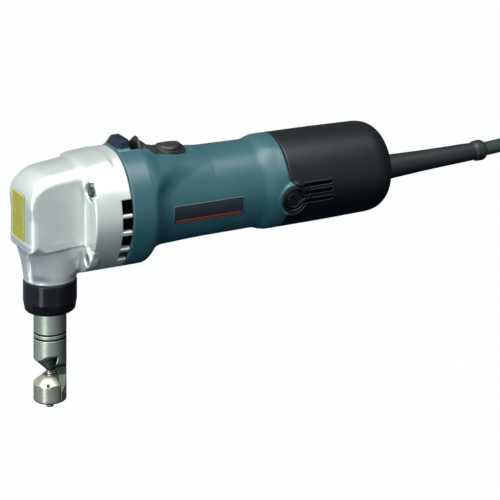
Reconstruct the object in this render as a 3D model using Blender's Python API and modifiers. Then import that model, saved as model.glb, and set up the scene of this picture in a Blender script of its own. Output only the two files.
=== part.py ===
"""Hand-held electric nibbler: gear housing with a crank-driven ram, punch and
die, barrel motor housing with universal motor, slide switch, rear cover and
cord.  Metres, +Z up.  +X runs from the punch towards the cord, left is -Y.

Working coordinates below are millimetres with X = 0 on the punch axis and
Z = 0 on the motor axis.  The object's own origin lies on the punch axis, on
the flat top of the gear housing, so every piece is shifted down by TOP_Z.
"""
import bpy
import bmesh
import math
from mathutils import Matrix, Vector

# ---------------------------------------------------------------- dimensions
MM = 0.001
TOP_Z = 30.6            # flat top of the head above the motor axis, on X = 0
TOP_SLOPE = 0.13        # rise of that top per millimetre of X
GAP = 0.3               # clearance between neighbouring pieces

HEAD_X0 = -20.4         # flat front of the gear housing
HEAD_X1 = 20.0
HEAD_HALF_W = 20.0      # flat sides of the head
FLANGE_X0 = 16.0        # front of the round section
SEAM_X = 41.0           # gear housing / motor housing joint
FLANGE_R = 37.5         # round section radius
FLANGE_CZ = -1.2        # its centre height
COVER_X0 = 156.3        # motor housing / rear cover joint
COVER_X1 = 240.3        # rear end of the cover
COVER_R = 30.8          # outside radius at that joint

MODULE = 0.6            # gear module
PINION_TEETH = 7
GEAR_TEETH = 39
CRANK_Z = MODULE * (PINION_TEETH + GEAR_TEETH) / 2    # crank axis above the motor axis
CRANK_THROW = 2.5       # half of the stroke
PIN_Z = CRANK_Z - CRANK_THROW   # crank pin at bottom dead centre
PIN_R = 2.3
ROLLER_R = 3.5
CRANK_SHAFT_R = 5.0

RAM_R = 7.0
RAM_BORE_R = 12.0
FIT_R = RAM_BORE_R - GAP    # pieces that sit in the ram bore
PUNCH_SHANK_R = 4.0
PUNCH_R = 2.5
PUNCH_SCREW_Z = -60.0
HOLDER_R = 10.35        # die holder tube
NUT_R = 16.9            # lock nut
NECK_R = 16.6
NECK_Z1 = -41.0
THREAD_R = 14.8
THREAD_Z1 = -56.3
JAW_Z = -96.5           # lowest ring of the upper jaw
DIE_Z = -101.1          # top of the die
DIE_BORE_R = 2.9
HOLDER_Z1 = -117.0      # lower end of the die holder
HOLDER_EDGE_Z = -115.2  # start of its lower chamfer
PUNCH_Z1 = -121.5       # lower end of the punch at bottom dead centre
DIE_SCREW_Y = 6.6
DIE_SCREW_Z = -110.5

SHAFT_R = 4.0           # armature shaft
SHAFT_FIT_R = SHAFT_R + GAP     # bore of the pieces carried on it
REAR_JOURNAL_R = 3.0
BARREL_R = 28.4         # motor housing barrel
BRUSH_X = 159.3
BRUSH_TILT = 11.7       # degrees the brush line falls towards the left side
BRUSH_ANGLES = {"left": 180.0 + BRUSH_TILT, "right": BRUSH_TILT}
CORD_R = 4.7
CORD_Z = -4.2
CLAMP_X = 228.5         # middle of the cord clamp
CLAMP_SCREW_Y = 9.6
COVER_SCREW_X = 168.0
COVER_SCREW_ANGLES = (-60.0, -120.0)
SWITCH_PAD_X = 81.6
HOUSING_SCREWS = [(-25.0, 17.0), (25.0, 17.0), (-24.0, -24.0), (24.0, -24.0)]   # (y, z)
SCREW_SHANK_R = 2.0
SCREW_HOLE_R = SCREW_SHANK_R + GAP
BOSS_R = 4.6            # bosses around the housing screws

SMALL_STEPS = 12        # steps of small bosses and holes wider than 4.5 mm

# ---------------------------------------------------------------- scene setup
for ob in list(bpy.data.objects):
    bpy.data.objects.remove(ob, do_unlink=True)

parts = bpy.data.collections.new("nibbler")
cutters = bpy.data.collections.new("cutters")
bpy.context.scene.collection.children.link(parts)
bpy.context.scene.collection.children.link(cutters)


# ---------------------------------------------------------------- materials
def new_material(name, colour, roughness, metallic=0.0):
    material = bpy.data.materials.new(name)
    material.use_nodes = True
    shader = material.node_tree.nodes["Principled BSDF"]
    shader.inputs["Base Color"].default_value = (*colour, 1.0)
    shader.inputs["Roughness"].default_value = roughness
    shader.inputs["Metallic"].default_value = metallic
    return material


def metal(name, colour, roughness):
    return new_material(name, colour, roughness, metallic=1.0)


ALUMINIUM = metal("cast_aluminium", colour=(0.72, 0.74, 0.73), roughness=0.35)
STEEL = metal("ground_steel", colour=(0.45, 0.45, 0.40), roughness=0.3)
DARK_STEEL = metal("blackened_steel", colour=(0.03, 0.03, 0.03), roughness=0.3)
TOOL_STEEL = metal("tool_steel", colour=(0.55, 0.53, 0.42), roughness=0.35)
BRASS = metal("brass", colour=(0.70, 0.50, 0.22), roughness=0.3)
COPPER = metal("copper", colour=(0.72, 0.36, 0.20), roughness=0.35)
IRON = metal("lamination_iron", colour=(0.25, 0.25, 0.26), roughness=0.5)
TEAL = new_material("housing_plastic_teal", colour=(0.05, 0.17, 0.20), roughness=0.38)
BLACK = new_material("cover_plastic_black", colour=(0.02, 0.025, 0.03), roughness=0.4)
RUBBER = new_material("rubber_black", colour=(0.02, 0.02, 0.022), roughness=0.7)
CARBON = new_material("carbon", colour=(0.05, 0.05, 0.05), roughness=0.6)
LABEL = new_material("label_yellow", colour=(0.75, 0.60, 0.08), roughness=0.45)
PLATE = new_material("name_plate_dark", colour=(0.06, 0.04, 0.07), roughness=0.35)
FELT = new_material("felt", colour=(0.4, 0.38, 0.33), roughness=0.95)
NYLON = new_material("nylon_white", colour=(0.7, 0.68, 0.6), roughness=0.5)
CAPACITOR = new_material("capacitor_blue", colour=(0.1, 0.15, 0.3), roughness=0.4)


# ---------------------------------------------------------------- placing
def add(name, data, material):
    """Links a new object.  One without a material is a boolean helper."""
    ob = bpy.data.objects.new(name, data)
    if material is None:
        cutters.objects.link(ob)
        ob.hide_render = True
        ob.display_type = "WIRE"
    else:
        parts.objects.link(ob)
        data.materials.append(material)
    return ob


def put(ob, x=0.0, y=0.0, z=0.0):
    ob.location = (x * MM, y * MM, (z - TOP_Z) * MM)
    return ob


def polar(radius, angle):
    return radius * math.cos(angle), radius * math.sin(angle)


def radial(angle_deg):
    """Rotation that turns local Z to point radially out from the X axis at the
    angle above +Y (0 = +Y, 180 = -Y)."""
    return (math.radians(angle_deg) - math.pi / 2, 0.0, 0.0)


def across(half):
    """Span of a size that lies evenly about zero."""
    return (-half, half)


# ---------------------------------------------------------------- flat-sided shapes
def from_bmesh(name, bm, material, at=(0.0, 0.0, 0.0)):
    mesh = bpy.data.meshes.new(name)
    bm.to_mesh(mesh)
    bm.free()
    return put(add(name, mesh, material), *at)


def bevel_edges(bm, width, segments):
    if width:
        bmesh.ops.bevel(bm, geom=bm.edges[:], offset=width * MM, segments=segments,
                        profile=0.5, affect="EDGES")


def block(name, size, centre, material=None, rot=(0.0, 0.0, 0.0), bevel=0.0):
    """Cuboid given by its size and centre, turned about that centre."""
    bm = bmesh.new()
    bmesh.ops.create_cube(bm, size=1.0)
    for v in bm.verts:
        v.co = Vector([c * s for c, s in zip(v.co, size)]) * MM
    bevel_edges(bm, bevel, 1)
    ob = from_bmesh(name, bm, material, centre)
    ob.rotation_euler = rot
    return ob


def box(name, span_x, span_y, span_z, material=None, bevel=0.0):
    """Cuboid given by its (low, high) spans."""
    spans = (span_x, span_y, span_z)
    size = [high - low for low, high in spans]
    centre = [(low + high) / 2 for low, high in spans]
    return block(name, size, centre, material, bevel=bevel)


def prism(name, outline, depth, plane="XZ", material=None, bevel=0.0, segments=1,
          at=(0.0, 0.0, 0.0)):
    """Extrudes a flat outline over the (low, high) depth.  Plane XZ: outline is
    (x, z), depth along Y.  Plane YZ: outline is (y, z), depth along X."""
    low, high = depth
    bm = bmesh.new()
    if plane == "XZ":
        points = [Vector((x, low, z)) for x, z in outline]
        direction = Vector((0, 1, 0))
    else:
        points = [Vector((low, y, z)) for y, z in outline]
        direction = Vector((1, 0, 0))
    face = bm.faces.new([bm.verts.new(p * MM) for p in points])
    extruded = bmesh.ops.extrude_face_region(bm, geom=[face])
    moved = [g for g in extruded["geom"] if isinstance(g, bmesh.types.BMVert)]
    bmesh.ops.translate(bm, verts=moved, vec=direction * (high - low) * MM)
    bmesh.ops.recalc_face_normals(bm, faces=bm.faces[:])
    bevel_edges(bm, bevel, segments)
    return from_bmesh(name, bm, material, at)


# ---------------------------------------------------------------- turned shapes
AXIS_TURNS = {"X": (0.0, math.pi / 2, 0.0), "Y": (-math.pi / 2, 0.0, 0.0),
              "Z": (0.0, 0.0, 0.0)}


def steps_for(radius):
    return 10 if radius < 4.5 else 14 if radius < 9.5 else 18 if radius < 16.0 else 24


def turned(name, profile, axis="X", material=None, at=(0.0, 0.0, 0.0), steps=None, rot=None):
    """A profile of (along, radius) points spun about the axis.  A profile that
    starts and ends on the axis is open, any other is closed into a ring.
    A given rot replaces the axis."""
    points = list(profile)
    closed = points[0][1] != 0.0 or points[-1][1] != 0.0
    # signed area tells which way the outline runs; the outer side must run
    # from high to low along the axis
    area = 0.0
    for (a0, r0), (a1, r1) in zip(points, points[1:] + points[:1]):
        area += (a1 - a0) * (r1 + r0) / 2.0
    if area > 0:
        points.reverse()
    count = len(points)
    edges = [(i, i + 1) for i in range(count - 1)] + ([(count - 1, 0)] if closed else [])
    mesh = bpy.data.meshes.new(name)
    mesh.from_pydata([(r * MM, 0.0, a * MM) for a, r in points], edges, [])
    ob = add(name, mesh, material)
    steps = steps or steps_for(max(r for a, r in points))
    screw = ob.modifiers.new("turn", "SCREW")
    screw.axis = "Z"
    screw.angle = math.radians(360.0)
    screw.steps = steps
    screw.render_steps = steps
    screw.use_merge_vertices = True
    screw.merge_threshold = 0.00001
    screw.use_smooth_shade = True
    ob.rotation_euler = AXIS_TURNS[axis] if rot is None else rot
    return put(ob, *at)


def stepped(start, *steps):
    """Profile of a solid stepped bar: each step is (radius, end)."""
    points = [(start, 0.0)]
    for radius, end in steps:
        points += [(points[-1][0], radius), (end, radius)]
    return points + [(points[-1][0], 0.0)]


def cyl(name, radius, a0, a1, axis="X", at=(0.0, 0.0, 0.0), material=None, steps=None,
        rot=None):
    return turned(name, stepped(a0, (radius, a1)), axis, material, at, steps, rot)


def ring(name, r0, r1, a0, a1, axis="X", at=(0.0, 0.0, 0.0), material=None):
    return turned(name, [(a0, r0), (a0, r1), (a1, r1), (a1, r0)], axis, material, at)


# ---------------------------------------------------------------- other shapes
def wire(name, points, radius, resolution, material):
    """Round wire along a list of (x, y, z) points."""
    curve = bpy.data.curves.new(name, "CURVE")
    curve.dimensions = "3D"
    curve.bevel_depth = radius * MM
    curve.bevel_resolution = resolution
    curve.use_fill_caps = True
    spline = curve.splines.new("POLY")
    spline.points.add(len(points) - 1)
    for point, (x, y, z) in zip(spline.points, points):
        point.co = (x * MM, y * MM, z * MM, 1.0)
    return put(add(name, curve, material))


def repeated(count, pattern, phase=0.0):
    """Outline that repeats (radius, angle offset) points evenly round a circle."""
    return [polar(radius, phase + 2 * math.pi * i / count + offset)
            for i in range(count) for radius, offset in pattern]


def gear_outline(teeth, phase):
    """Trapezoid teeth; phase in radians puts the middle of a tooth there."""
    pitch_r = MODULE * teeth / 2.0
    tip, root = pitch_r + 0.85 * MODULE, pitch_r - 1.1 * MODULE
    pitch = 2 * math.pi / teeth
    pattern = [(root, -0.34 * pitch), (tip, -0.13 * pitch),
               (tip, 0.13 * pitch), (root, 0.34 * pitch)]
    return repeated(teeth, pattern, phase)


# ---------------------------------------------------------------- booleans
def boolean(target, operation, tools):
    for tool in tools:
        modifier = target.modifiers.new(operation.lower(), "BOOLEAN")
        modifier.operation = operation
        modifier.solver = "EXACT"
        modifier.object = tool


def cut(target, *tools):
    boolean(target, "DIFFERENCE", tools)


def join(target, *tools):
    boolean(target, "UNION", tools)


# ================================================================ gear housing
HEAD_OUTLINE = [  # (x, z)
    (HEAD_X0, -19.6), (HEAD_X1, -17.0), (HEAD_X1, TOP_Z + TOP_SLOPE * HEAD_X1),
    (HEAD_X0, TOP_Z + TOP_SLOPE * HEAD_X0)]
FLANGE_PROFILE = [
    (FLANGE_X0, 0.0), (FLANGE_X0, FLANGE_R - 0.8), (FLANGE_X0 + 0.8, FLANGE_R),
    (SEAM_X, FLANGE_R), (SEAM_X, 0.0)]
FLANGE_TOP_OUTLINE = [(10, 33.0), (45, 36.9), (45, 60), (10, 60)]   # (x, z)
CRANK_ROOM_OUTLINE = [  # (x, z)
    (-16.6, -9.5), (-14.0, -12.0), (13.0, -12.0), (13.0, 27.6), (-13.0, 26.6), (-16.6, 23.0)]
OUTLETS = [(19.0, 5.5), (2.0, -11.0), (-15.5, -30.0), (-34.0, -46.0)]   # start, end degrees
OUTLET_R = (33.0, 40.0)     # inner and outer radius
SCREW_END_X = 50.0

gear_housing = prism("gear_housing", HEAD_OUTLINE, across(HEAD_HALF_W), "XZ", ALUMINIUM,
                     bevel=6.0, segments=3)
flange = turned("flange_body", FLANGE_PROFILE, at=(0, 0, FLANGE_CZ))
cut(flange, prism("flange_top_slope", FLANGE_TOP_OUTLINE, across(50)))
neck = turned("neck_body", stepped(-8.0, (NECK_R, NECK_Z1), (THREAD_R, THREAD_Z1)), "Z")
join(gear_housing, flange, neck)
cut(gear_housing,
    cyl("gear_room", 34.5, 21.0, 45.0, at=(0, 0, FLANGE_CZ)),
    prism("crank_room", CRANK_ROOM_OUTLINE, across(15.5)),
    cyl("shaft_bore", 11.3, 10.0, 25.0, at=(0, 0, CRANK_Z)),
    cyl("ram_bore", RAM_BORE_R, -60.0, -6.0, "Z"))

for i, (y, z) in enumerate(HOUSING_SCREWS):
    join(gear_housing, cyl(f"gear_boss_{i}", BOSS_R, 20.0, SEAM_X - 0.1, at=(0, y, z),
                           steps=SMALL_STEPS))
for i, (y, z) in enumerate(HOUSING_SCREWS):
    seat = stepped(10.0, (3.7, 19.6), (SCREW_HOLE_R, SCREW_END_X))
    cut(gear_housing, turned(f"screw_seat_{i}", seat, at=(0, y, z)))
# cooling outlets along the rear edge, on both sides
for side in (-1, 1):
    for i, (start, end) in enumerate(OUTLETS):
        corners = []
        for radius, angle in zip(OUTLET_R + OUTLET_R[::-1], (start, start, end, end)):
            y, z = polar(radius, math.radians(angle))
            corners.append((side * y, z))
        cut(gear_housing, prism(f"outlet_{side}_{i}", corners, (34.0, 45.0), "YZ"))

box("front_label", (HEAD_X0 - GAP - 0.4, HEAD_X0 - GAP), across(7.75), (-11.5, 15.0), LABEL)

# ================================================================ ram, punch
SLOT_HALF_H = 2 * CRANK_THROW + ROLLER_R + GAP
SLOT_HALF_W = CRANK_THROW + ROLLER_R + GAP
SLOT_Z0, SLOT_Z1 = PIN_Z - SLOT_HALF_H, PIN_Z + SLOT_HALF_H
RAM_PROFILE = [(1.5, 0.0), (1.5, RAM_R), (-65.0, RAM_R), (-66.0, RAM_R - 1.0), (-66.0, 0.0)]
PUNCH_PROFILE = [
    (-54.5, 0.0), (-54.5, 3.6), (-55.0, PUNCH_SHANK_R), (-65.5, PUNCH_SHANK_R),
    (-66.5, PUNCH_R), (-102.5, PUNCH_R), (-102.6, 1.7), (-106.0, 1.7),
    (-106.6, PUNCH_R - 0.1), (PUNCH_Z1 + 0.5, PUNCH_R - 0.1), (PUNCH_Z1, PUNCH_R - 0.5),
    (PUNCH_Z1, 0.0)]

ring("ram_guide_bush", RAM_R + GAP, FIT_R, NECK_Z1 + GAP, -13.0, "Z", material=BRASS)
ring("felt_seal", RAM_R + GAP, FIT_R, -43.6, NECK_Z1, "Z", material=FELT)

ram = turned("ram", RAM_PROFILE, "Z", STEEL)
join(ram, box("yoke_block", (-4.5, 3.5), across(SLOT_HALF_W + 2.2),
              (SLOT_Z0 - 2.5, SLOT_Z1 + 1.8), bevel=0.8))
cut(ram,
    box("yoke_slot", across(8.0), across(SLOT_HALF_W), (SLOT_Z0, SLOT_Z1)),
    cyl("punch_socket", PUNCH_SHANK_R + GAP, -70.0, -54.0, "Z"),
    cyl("punch_screw_hole", 1.8, -2.0, 12.0, "Y", (0, 0, PUNCH_SCREW_Z)))
turned("punch", PUNCH_PROFILE, "Z", TOOL_STEEL)
cyl("punch_set_screw", 1.5, 4.3, 6.6, "Y", (0, 0, PUNCH_SCREW_Z), DARK_STEEL)

# ================================================================ die holder, die
GROOVE_R = HOLDER_R - 0.5   # two shallow grooves round the tube
DIE_HOLDER_PROFILE = [
    (-44.0, 7.4), (-44.0, 11.3), (-44.4, FIT_R), (-56.6, FIT_R), (-56.6, 14.5),
    (-58.6, 14.5), (-58.6, HOLDER_R),
    (-73.6, HOLDER_R), (-73.8, GROOVE_R), (-74.4, GROOVE_R), (-74.6, HOLDER_R),
    (-76.7, HOLDER_R), (-76.9, GROOVE_R), (-77.5, GROOVE_R), (-77.7, HOLDER_R),
    (HOLDER_EDGE_Z, HOLDER_R), (HOLDER_Z1, HOLDER_R - 1.0), (HOLDER_Z1, DIE_BORE_R),
    (-76.0, DIE_BORE_R), (-75.0, 7.4)]
THROAT_PROFILE = [(-89.7, 11.2), (JAW_Z, 4.7), (JAW_Z, 0.0), (-118.0, 0.0), (-118.0, 11.2)]
FOOT_OUTLINE = [(3.9, -106.5), (12.0, -106.5), (12.0, -120.0), (3.9, -120.0)]   # (x, z)
DIE_PROFILE = [
    (DIE_Z, DIE_BORE_R), (DIE_Z, 4.7), (-105.4, HOLDER_R), (HOLDER_EDGE_Z, HOLDER_R),
    (HOLDER_Z1, HOLDER_R - 1.0), (HOLDER_Z1, DIE_BORE_R)]

die_holder = turned("die_holder", DIE_HOLDER_PROFILE, "Z", TOOL_STEEL)
throat = turned("throat_cone", THROAT_PROFILE, "Z")
# the rear web and the foot stay in place
cut(throat,
    box("web_keep", (3.9, 12.0), across(3.2), (-120.0, -85.0)),
    prism("foot_keep", FOOT_OUTLINE, across(12.0)))
cut(die_holder, throat)
die = turned("die", DIE_PROFILE, "Z", TOOL_STEEL)
cut(die, box("die_back", (3.6, 14.0), across(14.0), (-125.0, -95.0)))
for name, y in (("die_screw_left", -DIE_SCREW_Y), ("die_screw_right", DIE_SCREW_Y)):
    place = (0, y, DIE_SCREW_Z)
    hole = turned(name + "_hole", stepped(-15.0, (2.0, -4.2), (1.35, 7.0)), at=place)
    cut(die, hole)
    cut(die_holder, hole)
    turned(name, stepped(-7.0, (1.7, -4.5), (1.05, 6.7)), "X", DARK_STEEL, place)

# ================================================================ lock nut
NUT_TOP_Z = NECK_Z1 - GAP
LOCK_NUT_PROFILE = [
    (NUT_TOP_Z, THREAD_R + GAP), (NUT_TOP_Z, NUT_R - 0.4), (NECK_Z1 - 0.7, NUT_R),
    (-51.3, NUT_R), (-59.0, 15.2), (-61.9, 11.6), (-61.9, HOLDER_R + GAP),
    (-58.9, HOLDER_R + GAP), (-58.9, THREAD_R + GAP)]
NOTCH_COUNT = 6
NOTCH_SIZE = (3.2, 5.0, 9.5)
NOTCH_CENTRE_R = 17.6
NOTCH_Z = -52.2

lock_nut = turned("lock_nut", LOCK_NUT_PROFILE, "Z", DARK_STEEL)
for i in range(NOTCH_COUNT):
    angle = math.radians(30 + 360 / NOTCH_COUNT * i)
    cut(lock_nut, block(f"nut_notch_{i}", NOTCH_SIZE,
                        (*polar(NOTCH_CENTRE_R, angle), NOTCH_Z), rot=(0, 0, angle)))

# ================================================================ crank and gear
CRANK_PLACE = (0, 0, CRANK_Z)
PIN_PLACE = (0, 0, PIN_Z)
CRANK_SHAFT_PROFILE = [
    (7.2, 0.0), (7.2, 8.6), (7.6, 9.0), (12.6, 9.0), (12.6, CRANK_SHAFT_R),
    (29.2, CRANK_SHAFT_R), (29.2, 2.0), (31.8, 2.0), (31.8, 0.0)]

crank_shaft = turned("crank_shaft", CRANK_SHAFT_PROFILE, "X", STEEL, CRANK_PLACE)
join(crank_shaft, cyl("crank_pin", PIN_R, -5.2, 8.0, at=PIN_PLACE))
ring("pin_roller", PIN_R + GAP, ROLLER_R, -4.8, 4.2, "X", PIN_PLACE, STEEL)
ring("crank_bearing_front", CRANK_SHAFT_R + GAP, 11.0, 13.4, 20.2, "X", CRANK_PLACE, STEEL)
ring("crank_bearing_rear", 2.3, 5.2, 29.5, 31.8, "X", CRANK_PLACE, STEEL)

# half a tooth of turn puts a tooth gap against the pinion's upper tooth
gear_phase = -math.pi / 2 + math.pi / GEAR_TEETH
drive_gear = prism("drive_gear", gear_outline(GEAR_TEETH, gear_phase), (22.4, 28.6), "YZ",
                   STEEL, at=CRANK_PLACE)
cut(drive_gear, cyl("gear_bore", CRANK_SHAFT_R + GAP, 15.0, 35.0, at=CRANK_PLACE))

bearing_plate = cyl("bearing_plate", 34.2, 30.4, 33.6, "X", (0, 0, FLANGE_CZ), ALUMINIUM)
join(bearing_plate, cyl("plate_boss", 12.5, 31.0, 36.9))
cut(bearing_plate,
    cyl("plate_bearing_seat", 8.5, 32.4, 40.0),
    cyl("plate_shaft_hole", 4.6, 28.0, 40.0),
    cyl("plate_crank_seat", 5.5, 28.0, 32.1, at=CRANK_PLACE))
for i, (y, z) in enumerate(HOUSING_SCREWS):
    cut(bearing_plate, cyl(f"plate_boss_gap_{i}", 5.0, 28.0, 40.0, at=(0, y, z),
                           steps=SMALL_STEPS))

# ================================================================ armature
ARMATURE_SHAFT_PROFILE = [
    (29.4, 0.0), (29.4, 3.7), (45.0, SHAFT_R), (168.0, SHAFT_R), (168.0, REAR_JOURNAL_R),
    (176.5, REAR_JOURNAL_R), (176.5, 0.0)]
CORE_X0, CORE_X1 = 70.0, 106.0
CORE_R = 14.6
CORE_SLOT_R = 11.5          # floor of the slots
CORE_SLOTS = 12
CORE_PATTERN = [  # (radius, angle offset in radians) of one tooth side and slot
    (CORE_R, -0.22), (CORE_R, -0.045), (CORE_SLOT_R, -0.05), (CORE_SLOT_R, 0.05),
    (CORE_R, 0.045)]
COMMUTATOR_PROFILE = [
    (150.5, SHAFT_FIT_R), (150.5, 11.3), (152.3, 11.3), (152.3, 9.5), (166.8, 9.5),
    (166.8, SHAFT_FIT_R)]
FAN_PROFILE = [
    (43.5, SHAFT_FIT_R), (43.5, 8.0), (45.0, 8.0), (45.0, 25.0), (46.4, 25.0),
    (46.4, 9.0), (53.0, 8.0), (53.0, SHAFT_FIT_R)]
FAN_BLADES = 9
FAN_BLADE_SIZE = (6.6, 1.4, 15.2)
FAN_BLADE_X = 49.2
FAN_BLADE_R = 16.6          # radius of the blade centres

armature_shaft = turned("armature_shaft", ARMATURE_SHAFT_PROFILE, "X", STEEL)
join(armature_shaft,
     prism("pinion", gear_outline(PINION_TEETH, math.pi / 2), (22.2, 32.0), "YZ"))
ring("armature_bearing_front", SHAFT_FIT_R, 8.2, 32.7, 36.6, material=STEEL)
ring("armature_bearing_rear", REAR_JOURNAL_R + GAP, 8.0, 169.6, 174.0, material=STEEL)
armature_core = prism("armature_core", repeated(CORE_SLOTS, CORE_PATTERN),
                      (CORE_X0, CORE_X1), "YZ", IRON)
cut(armature_core, cyl("core_bore", SHAFT_FIT_R, 60.0, 120.0))
for end, x0, x1 in (("front", 60.0, CORE_X0 - GAP), ("rear", CORE_X1 + GAP, 118.0)):
    turned("armature_winding_" + end,
           [(x0, SHAFT_FIT_R), (x0, 10.5), (x0 + 1.5, 12.8), (x1 - 1.0, 13.6), (x1, 13.2),
            (x1, SHAFT_FIT_R)], "X", COPPER)
turned("commutator", COMMUTATOR_PROFILE, "X", COPPER)

fan = turned("fan", FAN_PROFILE, "X", NYLON, steps=22)
for i in range(FAN_BLADES):
    angle = 2 * math.pi * i / FAN_BLADES    # from +Z towards +Y
    z, y = polar(FAN_BLADE_R, angle)
    join(fan, block(f"fan_blade_{i}", FAN_BLADE_SIZE, (FAN_BLADE_X, y, z),
                    rot=(-angle, 0, 0)))

# ================================================================ motor housing
SECTION_POINTS = 28
HOUSING_X0 = SEAM_X + GAP
# stations (x, half width, top, bottom), sizes taken from the motor axis
OUTSIDE = [
    (HOUSING_X0, 37.5, 36.4, 38.9),
    (57.6, 37.2, 37.0, 38.8),
    (59.8, 35.8, 36.4, 37.4),
    (62.5, 32.8, 34.6, 34.6),
    (66.0, 30.0, 32.8, 31.8),
    (70.5, 28.5, 31.9, 30.0),
    (92.0, BARREL_R, 30.2, 28.9),
    (104.0, BARREL_R, 28.8, 28.6),
    (139.0, BARREL_R, BARREL_R, BARREL_R),
    (145.0, 30.4, 30.4, 30.4),
    (148.0, COVER_R, COVER_R, COVER_R),
    (COVER_X0 - GAP, COVER_R, COVER_R, COVER_R)]
# (x, radius) of the round tail inside the rear cover, with the bearing seat
TAIL = [
    (156.0, 27.1), (174.5, 27.1), (174.5, 11.2), (177.5, 11.2), (177.5, 8.3), (169.4, 8.3),
    (169.4, 11.2), (172.0, 11.2), (172.0, 25.0), (150.0, 25.0)]
# inside, same columns as OUTSIDE, from the rear to the front
INSIDE = [
    (140.0, 25.6, 24.8, 25.6),
    (66.0, 25.6, 24.8, 25.6),
    (58.6, 27.0, 27.0, 28.0),
    (56.9, 34.6, 34.0, 35.6),
    (HOUSING_X0, 34.8, 34.0, 35.6)]
HUMP_OUTLINE = [  # (y, z)
    (-22.0, 28.5), (-19.5, 35.6), (-7.5, 42.8), (7.5, 42.8), (19.5, 35.6), (22.0, 28.5)]
HUMP_REAR_OUTLINE = [  # (x, z)
    (50.0, 46.0), (60.5, 33.5), (66.0, 33.5), (66.0, 60.0), (50.0, 60.0)]
HUMP_ROOM_PROFILE = [
    (30.0, 0.0), (30.0, 34.0), (56.9, 34.0), (58.6, 27.0), (62.0, 27.0), (62.0, 0.0)]
AIR_HOLE_ANGLES = (42.0, 138.0, 222.0, 318.0)
AIR_HOLE_CENTRE_R = 18.2


def section(x, half_width, top, bottom):
    """Closed section whose upper and lower halves are half ellipses."""
    points = []
    for i in range(SECTION_POINTS):
        c, s = polar(1.0, 2 * math.pi * i / SECTION_POINTS)
        points.append(Vector((x, half_width * c, (top if s >= 0 else bottom) * s)) * MM)
    return points


def loft(name, stations, material):
    """Joins section after section and the last to the first: a tube with a wall."""
    bm = bmesh.new()
    rows = [[bm.verts.new(p) for p in section(*station)] for station in stations]
    for row, following in zip(rows, rows[1:] + rows[:1]):
        for i in range(SECTION_POINTS):
            k = (i + 1) % SECTION_POINTS
            bm.faces.new((row[i], row[k], following[k], following[i]))
    bmesh.ops.recalc_face_normals(bm, faces=bm.faces[:])
    return from_bmesh(name, bm, material)


motor_housing = loft("motor_housing", OUTSIDE + [(x, r, r, r) for x, r in TAIL] + INSIDE, TEAL)
# raised shoulder in front of the switch
hump = prism("hump", HUMP_OUTLINE, (HOUSING_X0, 58.0), "YZ")
cut(hump,
    prism("hump_rear_slope", HUMP_REAR_OUTLINE, across(30.0)),
    turned("hump_room", HUMP_ROOM_PROFILE))
join(motor_housing, hump)
cut(motor_housing,
    box("switch_recess", (50.6, 96.0), across(10.6), (28.0, 60.0)),
    box("link_slot", (60.5, 73.5), across(3.2), (20.0, 30.0)),
    box("link_notch", (168.0, 178.0), across(3.0), (22.3, 26.2)))
for i, (y, z) in enumerate(HOUSING_SCREWS):
    join(motor_housing, cyl(f"motor_boss_{i}", BOSS_R, SEAM_X + 0.45, 54.0, at=(0, y, z),
                            steps=SMALL_STEPS))
for i, (y, z) in enumerate(HOUSING_SCREWS):
    cut(motor_housing, cyl(f"motor_boss_hole_{i}", SCREW_HOLE_R, 35.0, 53.0, at=(0, y, z)))
for side, angle in BRUSH_ANGLES.items():
    place = dict(at=(BRUSH_X, 0, 0), rot=radial(angle))
    join(motor_housing, cyl("brush_boss_" + side, 8.4, 22.4, 30.9, **place))
    cut(motor_housing, turned("brush_bore_" + side,
                              stepped(13.7, (5.6, 26.1), (6.9, 34.0)), **place))
for i, angle in enumerate(AIR_HOLE_ANGLES):
    y, z = polar(AIR_HOLE_CENTRE_R, math.radians(angle))
    cut(motor_housing, cyl(f"air_hole_{i}", 4.7, 170.6, 176.1, at=(0, y, z),
                           steps=SMALL_STEPS))

# ---------------------------------------------------------------- field, baffle
FIELD_X0, FIELD_X1 = 68.0, 108.0

ring("field_core", 15.6, 22.6, FIELD_X0, FIELD_X1, material=IRON)
for end, x0, x1 in (("front", 60.5, FIELD_X0 - GAP), ("rear", FIELD_X1 + GAP, 117.0)):
    turned("field_winding_" + end,
           [(x0, 16.5), (x0, 21.0), (x0 + 1.5, 22.3), (x1 - 0.8, 22.3), (x1, 21.5),
            (x1, 16.5)], "X", COPPER, steps=22)
baffle_plate = ring("baffle_plate", 20.0, 33.6, 54.6, 56.4, material=BLACK)
cut(baffle_plate, box("baffle_recess", (50.0, 60.0), across(11.2), (27.4, 60.0)))

# ---------------------------------------------------------------- brushes
# along = distance from the motor axis
BRUSH_HOLDER_PROFILE = [
    (10.6, 2.0), (10.6, 4.6), (11.0, 5.0), (25.4, 5.0), (25.4, 2.0)]
BRUSH_CAP_PROFILE = [(26.4, 0.0), (26.4, 5.9), (29.9, 6.5), (30.4, 6.1), (30.4, 0.0)]
CAP_TOP = 30.4
BRUSH_X_SIZE, BRUSH_WIDTH, BRUSH_LENGTH = 6.0, 5.0, 7.2
SPRING_R = 1.7
SPRING_START, SPRING_LENGTH = 17.7, 8.0
SPRING_TURNS, POINTS_PER_TURN = 4, 6


def spring_points():
    points = []
    for i in range(SPRING_TURNS * POINTS_PER_TURN + 1):
        turns = i / POINTS_PER_TURN
        points.append((*polar(SPRING_R, 2 * math.pi * turns),
                       SPRING_START + SPRING_LENGTH * turns / SPRING_TURNS))
    return points


def brush_block(name, size, distance, angle, material=None):
    """Block on the brush line, its local Z along that line."""
    centre = (BRUSH_X, *polar(distance, math.radians(angle)))
    return block(name, size, centre, material, rot=radial(angle))


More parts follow.
